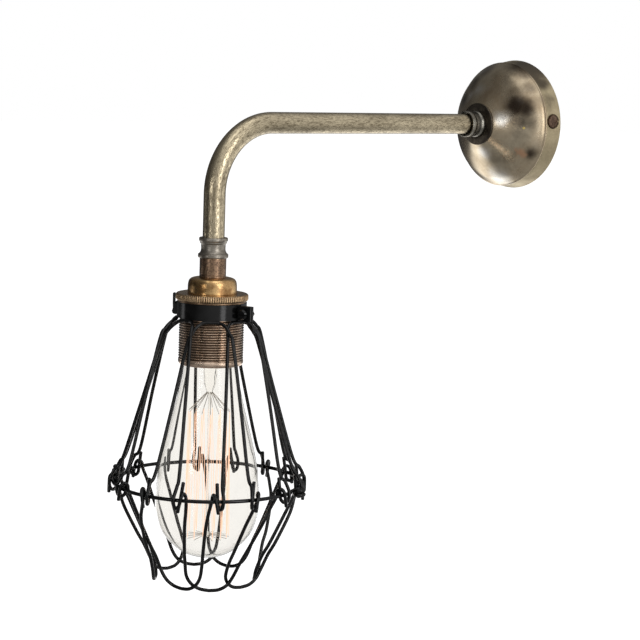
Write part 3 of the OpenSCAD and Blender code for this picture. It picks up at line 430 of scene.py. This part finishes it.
band = np.array([[rose_back, 0.0], [42.0, 2.2], [41.3, 6.0], [40.7, 9.4], [40.4, 10.5]])
dome = through([(rose_edge, rose_band + 0.4), (39.8, 12.3), (38.5, 14.2), (35.3, 18.3), (30.4, 22.2),
                (24.2, 26.2), (18.5, 29.8), (14.5, 32.3), (13.2, 33.0), (11.0, rose_depth),
                (rose_hole + 0.2, rose_depth)], 8)
outside = np.vstack([through(band, 10), [[40.5, 10.75], [40.7, 10.95], [40.78, 11.25], [40.62, 11.55]], dome])
inside = offset_in(outside, rose_wall)
inside[:, 1] = np.clip(inside[:, 1], 0, rose_depth - rose_wall)
inside[:, 0] = np.maximum(inside[:, 0], rose_hole)
shell = np.vstack([outside, [[rose_hole, rose_depth], [rose_hole, rose_depth - rose_wall]], inside[::-1]])
near_cup = np.linspace(-0.17, 0.17, 60) + np.arctan2(41.0, cup_height)
around = np.unique(np.concatenate([np.linspace(0, 2 * np.pi, 180, endpoint=False), near_cup,
                                   2 * np.pi - near_cup]))
rose_grid = arm_turned(shell, around)
off = np.hypot(rose_grid[..., 1] + rose_band / 2, rose_grid[..., 2] - cup_height)
ease = np.clip((cup_reach + cup_lip / 2 - off) / cup_lip, 0, 1)
weight = ease ** 2 * (3 - 2 * ease) * (np.abs(rose_grid[..., 0]) > band_side)
floor_x = np.where(np.arange(len(shell)) < len(outside), cup_floor, cup_floor_inside)[:, None]
floor_x = floor_x * np.sign(rose_grid[..., 0])
rose_grid[..., 0] = rose_grid[..., 0] * (1 - weight) + floor_x * weight
rose_mesh = grid_mesh("rose_spun", rose_grid, True)


def points_of(mesh):
    """The mesh's points in millimetres."""
    at = np.empty(len(mesh.vertices) * 3)
    mesh.vertices.foreach_get("co", at)
    return at.reshape(-1, 3) * 1000


def store(mesh, name, value):
    """Keeps one number a point on the mesh, under a name that its material reads."""
    mesh.attributes.new(name, "FLOAT", "POINT").data.foreach_set("value", value.astype(np.float32))


def patches(mesh, name, spots):
    """Stores the greatest of some soft round spots, each given by its middle (x, y, z in millimetres),
    reach and strength; a spot fades as exp(-(distance / reach) ^ 2)."""
    spots = np.asarray(spots, float)
    far = np.linalg.norm(points_of(mesh)[:, None] - spots[None, :, :3], axis=-1) / spots[None, :, 3]
    store(mesh, name, (spots[None, :, 4] * np.exp(-far ** 2)).max(1))


# dark spots: some are the rose's tarnish, the rest are painted shade that dims the right side, the lower cone
# and the band's top
patches(rose_mesh, "tarnish_and_painted_shade", [
    (-10.8, -16.3, 35.4, 8, 0.72), (-18.4, -20.4, 27.2, 8, 0.7), (-24, -23, 15, 7, 0.62),
    (27, -15.2, 26.6, 9, 0.72), (24.5, -24, 13.5, 9, 0.9), (29, -21.5, 12, 9, 0.72),
    (32.6, -16.4, -17.4, 6, 0.8), (27, -23.5, 2, 9, 0.55), (28, -22.5, -7, 10, 0.5),
    (22, -26.5, -12, 10, 0.46), (13, -25, -23, 11, 0.46), (34, -17, 0, 9, 0.5), (22, -21, 22, 8, 0.5),
    (14, -20, 31, 8, 0.42), (4, -20, 33, 8, 0.36), (-28, -17, -16, 14, 0.5), (-36, -6, 10, 12, 0.4),
    (18, -6, 38, 18, 0.95), (30, -6, 28, 9, 0.7), (37, -6, 18, 8, 0.5)])
patches(rose_mesh, "copper", [(27.6, -20.5, -17.6, 4.6, 0.85), (25, -22, -15.5, 3, 0.6)])
patches(rose_mesh, "gold", [(30.7, -22, -1.2, 1.1, 1.0)])
# painted highlights: near-white spots beside the boss, at the bottom and on the left, standing for lamp
# glints
patches(rose_mesh, "painted_highlight", [(17.5, -30, 3.5, 5, 0.95), (6.8, -17.6, -35, 9, 0.85),
                              (2.9, -30, -18.3, 5.5, 0.7), (-8, -26.6, 22, 6, 0.6), (-14, -26, 18, 5, 0.5)])
rose_metal = metal("rose_pewter", (0.68, 0.58, 0.42), (0.34, 0.25, 0.155), (34, 0.75), (420, 0.12),
                   (0.2, 0.33), 0.02)
band_metal = metal("rose_band", (0.5, 0.42, 0.27), (0.25, 0.2, 0.125), (60, 0.5), (700, 0.2),
                   (0.42, 0.55), 0.02)


def stained(paint, name, colour, edge=(0.25, 0.75), cloud=45.0):
    """Lays a second colour over a metal where a mesh attribute is strong; noise breaks up the border."""
    tree = paint.node_tree
    look = tree.nodes["Principled BSDF"]
    under = look.inputs["Base Color"].links[0].from_socket
    spread = tree.nodes.new("ShaderNodeAttribute")
    spread.attribute_name = name
    spot = tree.nodes.new("ShaderNodeTexCoord")
    ragged = add(tree, "ShaderNodeTexNoise", Scale=cloud, Detail=4.0, Roughness=0.6)
    tree.links.new(spot.outputs["Object"], ragged.inputs["Vector"])
    shift = add(tree, "ShaderNodeMath")
    shift.operation = "MULTIPLY_ADD"
    tree.links.new(ragged.outputs["Fac"], shift.inputs[0])
    shift.inputs[1].default_value = 1.1
    shift.inputs[2].default_value = -0.55
    total = add(tree, "ShaderNodeMath")
    total.operation = "ADD"
    tree.links.new(spread.outputs["Fac"], total.inputs[0])
    tree.links.new(shift.outputs[0], total.inputs[1])
    firm = add(tree, "ShaderNodeMapRange", From_Min=edge[0], From_Max=edge[1])
    firm.interpolation_type = "SMOOTHSTEP"
    tree.links.new(total.outputs[0], firm.inputs["Value"])
    tone = add(tree, "ShaderNodeMix")
    tone.data_type = "RGBA"
    tree.links.new(firm.outputs[0], tone.inputs["Factor"])
    tree.links.new(under, tone.inputs[6])
    tone.inputs[7].default_value = (*colour, 1)
    tree.links.new(tone.outputs[2], look.inputs["Base Color"])


# the dark spots' colour: tarnish and painted shade
stained(rose_metal, "tarnish_and_painted_shade", (0.05, 0.036, 0.026), (0.05, 0.95), 45.0)
stained(rose_metal, "copper", (0.6, 0.36, 0.22), (0.3, 0.9), 260.0)
stained(rose_metal, "gold", (0.75, 0.58, 0.2), (0.3, 0.8), 500.0)
# the painted highlights' near-white colour
stained(rose_metal, "painted_highlight", (0.88, 0.84, 0.77), (0.05, 1.0), 60.0)
# the band's top darkened: painted shade, with some tarnish
stained(band_metal, "tarnish_and_painted_shade", (0.1, 0.08, 0.055), (0.1, 0.8), 60.0)
piece("rose_spun", rose_mesh, rose_metal, "fixture", "rose_pewter", "rose_cover")
rose_mesh.materials.append(band_metal)
middle = np.empty(len(rose_mesh.polygons) * 3)
rose_mesh.polygons.foreach_get("center", middle)
middle = middle.reshape(-1, 3) * 1000
band_front, band_inner = -10.5, 40.0
on_band = (middle[:, 1] > band_front) & ((np.hypot(middle[:, 0], middle[:, 2]) > band_inner)
                                         | (np.abs(middle[:, 0]) > band_side))
rose_mesh.polygons.foreach_set("material_index", on_band.astype(np.int32))
dark_bronze = metal("dark_bronze", (0.2, 0.13, 0.09), (0.05, 0.03, 0.02), (300, 0.7), (1500, 0.5),
                    (0.4, 0.6))
finish_nodes(dark_bronze, "rose_screw_right", "rose_screw_left")


# ---------------------------------------------------------------- disc and ferrule
# A blackened disc covers the hole in the rose; on it stands a turned ferrule of ring, neck and ring,
# with a dark open gap where the arm goes in.
disc = eased([(5.2, 33.2), (13.7, 33.2), (13.7, 34.6), (5.2, 34.6)], 0.35)
disc_metal = metal("disc_black", (0.13, 0.11, 0.085), (0.04, 0.033, 0.028), (120, 0.7), (700, 0.3),
                   (0.28, 0.42))
piece("disc_turned", grid_mesh("disc_turned", arm_turned(disc), True), disc_metal, "fixture",
      "dark_disc", "boss_disc")
ferrule = eased([(5.0, 34.6), (8.6, 34.6), (8.6, 36.6), (8.0, 37.5), (7.85, 38.4), (7.85, 41.8), (8.2, 42.6),
                 (8.5, 43.4), (8.5, 46.0), (7.6, 46.0), (7.6, 43.4), (6.5, 43.4), (6.5, 37.0),
                 (5.0, 37.0)], 0.45)
ferrule_metal = metal("ferrule_worn", (0.38, 0.36, 0.31), (0.07, 0.065, 0.055), (150, 0.7), (900, 0.25),
                      (0.22, 0.36))
piece("ferrule_turned", grid_mesh("ferrule_turned", arm_turned(ferrule), True), ferrule_metal, "fixture",
      "ferrule_brass", "ferrule")
finish_nodes(bright_brass, "lock_nuts", "upper_nipple", "lower_nipple")


# ---------------------------------------------------------------- arm
# One brass tube, 13 mm across, bent a quarter turn on a former, silvered and then aged to a mottled
# grey-olive with bright rubbed flecks. It is screwed on the nipples at both ends.
tube_outer, tube_bore, bend_radius, arm_start, arm_end = 6.5, 5.0, 42.0, 37.0, -75.0
bend_start = -lamp_axis - bend_radius
along = np.linspace(arm_start, bend_start, 60)[:-1]
straight = np.stack([0 * along, -along, 0 * along], -1)
bend_turn = np.linspace(0, np.pi / 2, 49)
curve = np.stack([0 * bend_turn, -bend_start - bend_radius * np.sin(bend_turn),
                  -bend_radius + bend_radius * np.cos(bend_turn)], -1)
drop = np.linspace(-bend_radius, arm_end, 12)[1:]
fall = np.stack([0 * drop, lamp_axis + 0 * drop, drop], -1)
route = np.vstack([straight, curve, fall])


def swept(route, outline, first):
    """Carries an outline of (sideways, across) offsets along a route. The first side vector is carried
    from point to point with the least turn, so that the skin doesn't twist."""
    way = np.gradient(route, axis=0)
    way /= np.linalg.norm(way, axis=1)[:, None]
    aside = np.empty_like(route)
    held = np.asarray(first, float)
    for i, w in enumerate(way):
        held = held - (held @ w) * w
        held = held / np.linalg.norm(held)
        aside[i] = held
    across = np.cross(way, aside)
    o = np.asarray(outline, float)
    return route[:, None, :] + o[None, :, :1] * aside[:, None, :] + o[None, :, 1:] * across[:, None, :]


def ring_outline(radius, steps):
    """A circle of offsets."""
    a = np.linspace(0, 2 * np.pi, steps, endpoint=False)
    return radius * np.stack([np.cos(a), np.sin(a)], -1)


tube_sides = 64
skin = swept(route, ring_outline(tube_outer, tube_sides), (1, 0, 0))
bore = swept(route, ring_outline(tube_bore, tube_sides), (1, 0, 0))
arm_mesh = grid_mesh("arm_bent", np.vstack([skin, bore[::-1]]), True)
# the wear is drawn out along the tube: its pattern runs at 0.3 of the true length
run = np.concatenate([[0], np.cumsum(np.linalg.norm(np.diff(route, axis=0), axis=1))])
turn = ring_outline(1.0, tube_sides)
flat = np.stack([np.repeat(0.3 * run[:, None], tube_sides, 1),
                 tube_outer * turn[None, :, 0] + 0 * run[:, None],
                 tube_outer * turn[None, :, 1] + 0 * run[:, None]], -1)
arm_mesh.attributes.new("along", "FLOAT_VECTOR", "POINT").data.foreach_set(
    "vector", (0.001 * np.vstack([flat, flat[::-1]])).astype(np.float32).ravel())
arm_metal = metal("arm_aged", (0.62, 0.53, 0.37), (0.19, 0.155, 0.1), (120, 0.4), (1300, 0.7),
                  (0.22, 0.38), 0.1, "along")
# painted shade: six dark spots down the left side of the arm's drop
patches(arm_mesh, "tarnish_and_painted_shade", [(-2.2, -256.6, -46 - 5 * i, 5, 0.6) for i in range(6)])
stained(arm_metal, "tarnish_and_painted_shade", (0.13, 0.11, 0.085), (0.05, 0.95), 250.0)
piece("arm_bent", arm_mesh, arm_metal, "fixture", "arm_metal", "arm_tube")


# ---------------------------------------------------------------- coupling and sleeve
# A turned silvered coupling with two beads takes the arm; under it a plain sleeve of brown bronze
# hides the lower nipple.
coupling = eased([(6.5, -67.5), (8.2, -67.5), (8.55, -67.9), (8.55, -69.4), (8.0, -70.0), (7.9, -70.8),
                  (7.3, -71.4), (7.2, -74.6), (7.6, -76.0), (8.2, -76.8), (9.0, -77.4), (9.0, -79.1),
                  (8.6, -79.6), (5.0, -79.6), (5.0, -75.0), (6.5, -75.0)], 0.5)
coupling_metal = metal("coupling_silver", (0.37, 0.34, 0.29), (0.14, 0.12, 0.1), (150, 0.6), (1200, 0.4),
                       (0.32, 0.46))
piece("coupling_turned", grid_mesh("coupling_turned", lamp_turned(coupling), True), coupling_metal, "fixture",
      "coupling_silver", "coupling")
sleeve = eased([(5.0, -79.6), (7.9, -79.6), (7.9, -89.7), (7.7, -89.9), (7.9, -90.1), (7.9, -91.1),
                (5.0, -91.1)], 0.15)
sleeve_metal = metal("sleeve_bronze", (0.4, 0.26, 0.165), (0.09, 0.058, 0.04), (170, 0.5), (1300, 0.7),
                     (0.24, 0.42))
sleeve_mesh = grid_mesh("sleeve_turned", lamp_turned(sleeve), True)
# painted shade: the sleeve darkened in spots, most on its left
patches(sleeve_mesh, "tarnish_and_painted_shade", [(-2, -258.1, -84, 4.5, 0.8), (-2, -258.1, -89, 4, 0.7),
                                 (3, -258, -85, 3, 0.3), (7.5, -253, -83, 3, 0.35)])
stained(sleeve_metal, "tarnish_and_painted_shade", (0.07, 0.045, 0.03), (0.05, 0.95), 300.0)
piece("sleeve_turned", sleeve_mesh, sleeve_metal, "fixture", "sleeve_brown", "sleeve")


# ---------------------------------------------------------------- dome, rim and shoulder ring
# The holder's cap is a pressed brass dome. Under it sits a ring with a coin edge for the fingers, and
# a thin bright ring that the guard's collar hangs against.
dome_shape = np.vstack([
    through([(5.0, -91.1), (9.0, -91.1), (11.0, -91.3), (12.8, -91.9), (13.9, -93.0), (14.4, -94.6),
             (14.6, -97.0), (14.6, -100.6)], 8),
    eased([(14.6, -100.6), (13.9, -100.62), (13.9, -103.5), (12.6, -103.5), (12.6, -94.5), (11.4, -92.4),
           (5.0, -92.3)], 0.2, closed=False)])
dome_metal = metal("dome_gold", (0.86, 0.58, 0.27), (0.26, 0.135, 0.055), (130, 0.75), (1200, 0.3),
                   (0.2, 0.36))
dome_mesh = grid_mesh("dome_pressed", lamp_turned(dome_shape), True)
# painted shade: the dome darkened on its left and in its middle, where a lamp's glint falls
patches(dome_mesh, "tarnish_and_painted_shade", [(-3.6, -264, -96, 5, 0.8), (2.4, -264.3, -95.5, 4.5, 0.72),
                               (7, -262.6, -96, 5, 0.9), (-12, -250, -96, 8, 0.6), (14, -254, -95, 4, 0.4)])
stained(dome_metal, "tarnish_and_painted_shade", (0.16, 0.085, 0.03), (0.05, 0.95), 200.0)
piece("dome_pressed", dome_mesh, dome_metal, "fixture", "dome_gold", "holder_cap")
rim = eased([(13.9, -100.6), (20.9, -100.6), (21.55, -101.3), (21.55, -103.9), (21.0, -104.6), (19.4, -104.6),
             (19.4, -102.0), (13.9, -102.0)], 0.4, 7)
rim_teeth, tooth_depth, tooth_foot = 96, 0.42, 20.7
rim_steps = 8 * rim_teeth
rim_grid = lamp_turned(rim, rim_steps)
turn = np.arange(rim_steps) * 2 * np.pi / rim_steps
tooth = np.abs(np.sin(rim_teeth * turn / 2)) ** 0.8
depth = tooth_depth * np.clip((rim[:, 0] - tooth_foot) / 0.6, 0, 1)
scale = 1 - (depth[:, None] * (1 - tooth[None, :])) / np.maximum(rim[:, :1], 1)
rim_grid[..., 0] *= scale
rim_grid[..., 1] = lamp_axis + (rim_grid[..., 1] - lamp_axis) * scale
rim_mesh = grid_mesh("rim_coined", rim_grid, True)
at = points_of(rim_mesh)
bearing = np.arctan2(at[:, 0], lamp_axis - at[:, 1])
on_teeth = np.hypot(at[:, 0], at[:, 1] - lamp_axis) > tooth_foot - 0.1
# painted shade: the knurl's grooves darkened
store(rim_mesh, "groove", (1 - np.abs(np.sin(rim_teeth / 2 * bearing))) * on_teeth)
rim_metal = metal("rim_gold", (0.62, 0.44, 0.26), (0.2, 0.12, 0.065), (140, 0.6), (1200, 0.4), (0.2, 0.36))
stained(rim_metal, "groove", (0.1, 0.06, 0.03), (0.3, 0.8), 300.0)
piece("rim_coined", rim_mesh, rim_metal, "fixture", "rim_brass", "coin_rim")
shoulder = eased([(19.4, -104.6), (20.45, -104.6), (20.45, -105.6), (19.4, -105.6)], 0.25)
shoulder_metal = metal("shoulder_brown", (0.3, 0.2, 0.12), (0.1, 0.06, 0.04), (200, 0.6), (900, 0.3),
                       (0.25, 0.4))
piece("shoulder_turned", grid_mesh("shoulder_turned", lamp_turned(shoulder), True), shoulder_metal, "fixture",
      "rim_brass", "shoulder_ring")


# ---------------------------------------------------------------- threaded skirt
# The holder's body: a brass tube with a fine outside thread for shade rings, plated a coppery brown,
# and a plain rolled lip at its mouth.
skirt_crest, skirt_bore, thread_pitch, thread_top, thread_end = 19.4, 17.6, 1.5, -105.0, -140.2
skirt_face, groove_depth, thread_rows = 19.38, 0.65, 289
skirt_up = np.linspace(thread_top, thread_end, thread_rows)
skirt_turn = np.linspace(0, 2 * np.pi, 160, endpoint=False)
phase = (skirt_up[:, None] / thread_pitch - skirt_turn[None, :] / (2 * np.pi)) % 1.0
groove = groove_depth * np.clip(1.25 - 2.6 * np.abs(phase - 0.5), 0, 1)
fade = np.clip((thread_top - skirt_up) / 0.8, 0, 1) * np.clip((skirt_up - thread_end) / 0.8, 0, 1)
thread_r = skirt_face - groove * fade[:, None]
walls = np.stack([thread_r * np.sin(skirt_turn), lamp_axis - thread_r * np.cos(skirt_turn),
                  skirt_up[:, None] + 0 * skirt_turn], -1)
lip = eased([(skirt_face, thread_end), (skirt_crest, -140.6), (skirt_crest, -141.6), (18.7, -143.0),
             (skirt_bore, -143.0), (skirt_bore, -102.0), (skirt_face, -102.0), (skirt_face, thread_top)],
            0.35, closed=False)
lip = lamp_turned(lip, 160)
skirt_mesh = grid_mesh("skirt_threaded", np.vstack([walls, lip[1:-1]]), True)
# painted shade: the thread's grooves darkened
at = points_of(skirt_mesh)
deep = np.clip((skirt_crest - 0.1 - np.hypot(at[:, 0], at[:, 1] - lamp_axis)) / 0.45, 0, 1)
store(skirt_mesh, "groove", deep * (at[:, 2] > thread_end))
skirt_metal = metal("skirt_copper", (0.8, 0.62, 0.48), (0.4, 0.29, 0.21), (70, 0.6), (700, 0.25), (0.2, 0.34))
stained(skirt_metal, "groove", (0.11, 0.075, 0.05), (0.2, 0.9), 300.0)
piece("skirt_threaded", skirt_mesh, skirt_metal, "fixture", "skirt_copper", "threaded_skirt")


# ---------------------------------------------------------------- holder's inside
# A glazed ceramic insert carries the brass screw shell, the springy centre contact and the three
# terminal posts. It is held between the dome and the skirt.
finish_nodes(moulded("ceramic_white", (0.88, 0.86, 0.8), 0.25, 300.0), "holder_insert")
finish_nodes(bright_brass, "screw_shell", "centre_contact", "terminal_posts", "terminal_screws")


# ---------------------------------------------------------------- guard: collar, hinge and clamp
# Black painted steel. The collar grips the skirt in two halves, hinged on a slanted line at the left
# and drawn together by a clamp screw at the right.
def black_paint():
    """Gloss black stoving paint over steel: near black, with a soft orange-peel bump and dusty patches."""
    paint = bpy.data.materials.new("guard_black")
    paint.use_nodes = True
    tree = paint.node_tree
    look = tree.nodes["Principled BSDF"]
    spot = tree.nodes.new("ShaderNodeTexCoord")
    dust = add(tree, "ShaderNodeTexNoise", Scale=140.0, Detail=5.0, Roughness=0.6)
    peel = add(tree, "ShaderNodeTexNoise", Scale=900.0, Detail=2.0)
    tree.links.new(spot.outputs["Object"], dust.inputs["Vector"])
    tree.links.new(spot.outputs["Object"], peel.inputs["Vector"])
    tone = add(tree, "ShaderNodeValToRGB")
    tone.color_ramp.elements[0].position = 0.4
    tone.color_ramp.elements[0].color = (0.002, 0.002, 0.002, 1)
    tone.color_ramp.elements[1].position = 0.8
    tone.color_ramp.elements[1].color = (0.006, 0.006, 0.006, 1)
    tree.links.new(dust.outputs["Fac"], tone.inputs["Fac"])
    tree.links.new(tone.outputs["Color"], look.inputs["Base Color"])
    look.inputs["Specular IOR Level"].default_value = 0.28
    rough = add(tree, "ShaderNodeMapRange", To_Min=0.08, To_Max=0.22)
    tree.links.new(dust.outputs["Fac"], rough.inputs["Value"])
    tree.links.new(rough.outputs[0], look.inputs["Roughness"])
    dent = add(tree, "ShaderNodeBump", Strength=0.12, Distance=0.0003)
    tree.links.new(peel.outputs["Fac"], dent.inputs["Height"])
    tree.links.new(dent.outputs["Normal"], look.inputs["Normal"])
    return paint


guard_black = black_paint()
finish_nodes(guard_black, "collar_back", "collar_front", "hinge_tab", "hinge_pin", "clamp_nut", "clamp_screw",
             "hinge_rivet", "ring_back", "ring_front")


# ---------------------------------------------------------------- guard: top hairpins
# Each is one piece of 2.2 mm wire, bent to an arch that is welded under the collar and to two hooks
# that are closed round the ring. Neighbours cross just under the collar.
# the routes are laid for the full wire; it is drawn a hair thinner, to stay within the part's own box
wire_size, wire_radius, ring_radius, ring_height, arch_height = 2.2, 1.055, 56.6, -214.2, -115.8
first_pin, top_spread = 47.4, 31.5


def about_lamp(radius, bearing, height):
    """Points at a radius and bearing (degrees, from the front towards the right) about the lamp's axis."""
    b = np.radians(bearing)
    return np.stack([radius * np.sin(b), lamp_axis - radius * np.cos(b), height + 0 * b], -1)


def arch_twist(height):
    """The hairpins' tops stand 4.5 degrees further round than their hooks; the turn fades down the leg."""
    return np.where(height > ring_height, 4.5 * (height - ring_height) / (arch_height - ring_height), 0.0)


def top_leg(centre, way, spread, lean, near=1.0):
    """One leg from the middle of the arch to the end of its hook, through named places: the arch's
    shoulder and corner, the knee above the ring, and seven points round the hook. A leg beside the split
    has a narrower arch, by the part near."""
    lift = 0.53 * wire_size * way
    arch = np.array([(0, 0, 0, 0), (4.6, .2, -.2, .1), (8.4 * min(1, near + 0.2), 2.3, -2.2, .75),
                     (10.9 * near, 5.3, -5.9, 1), (13.5 * near, 8.3, -12.4, 1)])
    arch = np.stack([way * arch[:, 0], 20.7 + arch[:, 1] + 0.77 * lift * arch[:, 3],
                     arch_height + arch[:, 2] + 0.63 * lift * arch[:, 3]], -1)
    turn = np.radians(spread - 0.5)
    knee = np.array([way * 51.5 * np.sin(turn), 51.5 * np.cos(turn), ring_height + 14.2])
    middle = (arch[4] + knee) / 2 + [0, 0.2 * lift, 0]
    body = np.vstack([arch, middle, knee])
    bearing = centre + np.degrees(np.arctan2(body[:, 0], body[:, 1])) + arch_twist(body[:, 2])
    body = about_lamp(np.hypot(body[:, 0], body[:, 1]), bearing, body[:, 2])
    hook = np.array([(-.6, 0, 7.7), (2.2, -.6, 1.7), (1.9, -.3, -3), (0, .7, -4.6), (-1.9, 1.6, -3),
                     (-2.2, 2.2, .7), (-3.2, 3, 9.7)])
    height = ring_height + hook[:, 2]
    bearing = centre + way * spread + lean * np.degrees(hook[:, 1] / ring_radius) + arch_twist(height)
    hook = about_lamp(ring_radius + hook[:, 0], bearing, height)
    return through(np.vstack([body, hook]), 8)


def closed_wire(name, route, radius, sides=14):
    """A round wire along a route; its two ends are drawn in to a small rounded nose."""
    grid = swept(route, ring_outline(radius, sides), (0.31, 0.22, 0.93))
    nose = lambda i, j, f: route[i] + (grid[i] - route[i]) * f + (route[i] - route[j]) / np.linalg.norm(
        route[i] - route[j]) * radius * np.sqrt(1 - f * f) * 0.6
    head = [nose(0, 1, f) for f in (0.0, 0.5, 0.85)]
    tail = [nose(-1, -2, f) for f in (0.85, 0.5, 0.0)]
    return grid_mesh(name, np.vstack([head, grid, tail]), False)


for k in range(8):
    left, right = {2: 0.8, 6: 0.7}.get(k, 1.0), {1: 0.8, 5: 0.66}.get(k, 1.0)
    centre = first_pin + 45 * k
    a = top_leg(centre, -1, *((13.5, 1) if left < 1 else (top_spread, -1)), left)
    b = top_leg(centre, 1, *((13.5, -1) if right < 1 else (top_spread, 1)), right)
    body = "guard_front" if k in (0, 1, 6, 7) else "fixture"
    name = f"hairpin_{k + 1}"
    piece(name, closed_wire(name, np.vstack([a[::-1], b[1:]]), wire_radius), guard_black, body, "guard_black",
          f"top_{k + 1}")


# ---------------------------------------------------------------- guard: bottom loops
# Each loop hangs in the ring by two hooks and dips under the bulb. The two loops at the split are cut
# in the middle, so that the front half can swing away.
bowl_drop, bowl_radius, low_spread = 59.4, 30.2, 30.5
loop_lean = [0, -13, -17.5, -18, 2, -4, -13, -12]


def low_leg(centre, way, lean, stop=0.0):
    """One leg from its hook's tail to the middle of the loop's bottom; lean turns the bottom against
    the hooks in step with the depth, and the leg lies outside or inside its neighbour by way."""
    hook = np.array([(2.35, 3.4, -6.3), (2.2, 2.3, -.3), (1.7, 1.5, 2.8), (0, .8, 4), (-1.8, .2, 2.6),
                     (-2.2, -.3, -.8)])
    bearing = centre + way * low_spread + way * np.degrees(hook[:, 1] / ring_radius)
    hook = about_lamp(ring_radius + hook[:, 0], bearing, ring_height + hook[:, 2])
    low = np.array([(25, .583, .14, .35), (22.6, .492, .3, 1), (18.3, .277, .569, 1), (16, .144, .704, 1),
                    (13.6, .053, .847, 1), (10.3, .023, .936, 1), (5.6, .008, .985, .8), (stop, 0, 1, 0)])
    u = way * low[:, 0]
    v = bowl_radius + (ring_radius - bowl_radius) * low[:, 1] + way * 0.59 * wire_size * low[:, 3]
    bearing = centre + lean * np.minimum(1, 1.17 * low[:, 2]) + np.degrees(np.arctan2(u, v))
    low = about_lamp(np.hypot(u, v), bearing, ring_height - bowl_drop * low[:, 2])
    return through(np.vstack([hook, low]), 8)


for k in range(8):
    centre = first_pin - 22.5 + 45 * k
    if k in (2, 6):
        for way in (-1, 1):
            front = (k == 2) == (way == -1)
            name = f"loop_end_{k + 1}_{'front' if front else 'back'}"
            piece(name, closed_wire(name, low_leg(centre, way, loop_lean[k], 0.35), wire_radius), guard_black,
                  "guard_front" if front else "fixture", "guard_black",
                  "low_ends_front" if front else "low_ends_back")
    else:
        a, b = (low_leg(centre, way, loop_lean[k]) for way in (-1, 1))
        name = f"loop_{k + 1}"
        piece(name, closed_wire(name, np.vstack([a, b[-2::-1]]), wire_radius), guard_black,
              "guard_front" if k in (0, 1, 7) else "fixture", "guard_black", f"low_{k + 1}")


# ---------------------------------------------------------------- bulb
# A clear pear shaped glass, blown over a pinched glass stem, with a faintly warm tint that is partly painted
# light of the glowing filament. Carbon thread runs up and down between two stars of wire and glows orange;
# the brass cap is cemented to the neck.
neck, cap_mouth, glass_wall, glass_tip = -133.5, -139.0, 0.7, -260.5
glass_outline = through([
    (12.0, neck), (12.0, cap_mouth), (12.8, -139.7), (14.3, -141.4), (15.5, -143.0), (17.2, -153.0),
    (20.5, -167.7), (25.5, -187.0), (29.5, -205.0), (31.0, -222.0), (30.9, -232.0), (26.9, -245.0),
    (17.6, -255.0), (9.0, -259.2), (0.0, glass_tip)], 8)
glass_inner = offset_in(glass_outline, -glass_wall)
glass_inner[:, 0] = np.maximum(glass_inner[:, 0], 0)
glass_inner[-1] = (0, glass_tip + glass_wall)
glass_loop = np.vstack([glass_inner[::-1], glass_outline])
glass = bpy.data.materials.new("bulb_clear")
glass.use_nodes = True
glass_look = glass.node_tree.nodes["Principled BSDF"]
# painted shade: the glass's tint darkens towards its outline
glass_rim = add(glass.node_tree, "ShaderNodeLayerWeight", Blend=0.35)
glass_tone = add(glass.node_tree, "ShaderNodeValToRGB")
glass_tone.color_ramp.elements[0].position = 0.4
# the faintly warm tint: partly painted light of the glowing filament
glass_tone.color_ramp.elements[0].color = (0.978, 0.964, 0.935, 1)
glass_tone.color_ramp.elements[1].position = 1.0
glass_tone.color_ramp.elements[1].color = (0.6, 0.58, 0.53, 1)
glass.node_tree.links.new(glass_rim.outputs["Facing"], glass_tone.inputs["Fac"])
glass.node_tree.links.new(glass_tone.outputs["Color"], glass_look.inputs["Base Color"])
glass_look.inputs["Roughness"].default_value = 0.0
# a low index, because the thin glass mirrors none of the lamps
glass_look.inputs["IOR"].default_value = 1.18
glass_look.inputs["Transmission Weight"].default_value = 1.0
piece("bulb_blown", grid_mesh("bulb_blown", lamp_turned(glass_loop, 128), False), glass, "bulb", "bulb_clear",
      "bulb_glass")
finish_nodes(bright_brass, "bulb_cap")
finish_nodes(moulded("vitrite_black", (0.03, 0.025, 0.03), 0.15, 200.0), "cap_insulator")
finish_nodes(metal("solder", (0.8, 0.8, 0.78), (0.5, 0.5, 0.5), (300, 0.5), (900, 0.3), (0.3, 0.5)),
             "tip_contact")
stem_glass = glass.copy()
stem_glass.name = "stem_clear"
# painted shade: the stem's tint darkens towards its outline, more faintly
stem_glass.node_tree.nodes["Color Ramp"].color_ramp.elements[1].color = (0.8, 0.79, 0.77, 1)
stem_tree = stem_glass.node_tree
stem_place = add(stem_tree, "ShaderNodeTexCoord")
stem_grain = add(stem_tree, "ShaderNodeTexNoise", Scale=260.0, Detail=2.0)
stem_dent = add(stem_tree, "ShaderNodeBump", Strength=0.4, Distance=0.001)
stem_tree.links.new(stem_place.outputs["Object"], stem_grain.inputs["Vector"])
stem_tree.links.new(stem_grain.outputs["Fac"], stem_dent.inputs["Height"])
stem_tree.links.new(stem_dent.outputs["Normal"], stem_tree.nodes["Principled BSDF"].inputs["Normal"])
finish_nodes(stem_glass, "glass_stem")
finish_nodes(metal("nickel_wire", (0.5, 0.47, 0.42), (0.2, 0.18, 0.16), (300, 0.5), (900, 0.3), (0.3, 0.5)),
             "filament_supports")
glow = bpy.data.materials.new("filament_glow")
glow.use_nodes = True
glow_look = glow.node_tree.nodes["Principled BSDF"]
glow_look.inputs["Base Color"].default_value = (0.3, 0.15, 0.08, 1)
glow_look.inputs["Emission Color"].default_value = (1.0, 0.64, 0.45, 1)
glow_look.inputs["Emission Strength"].default_value = 1.0
finish_nodes(glow, "filament")
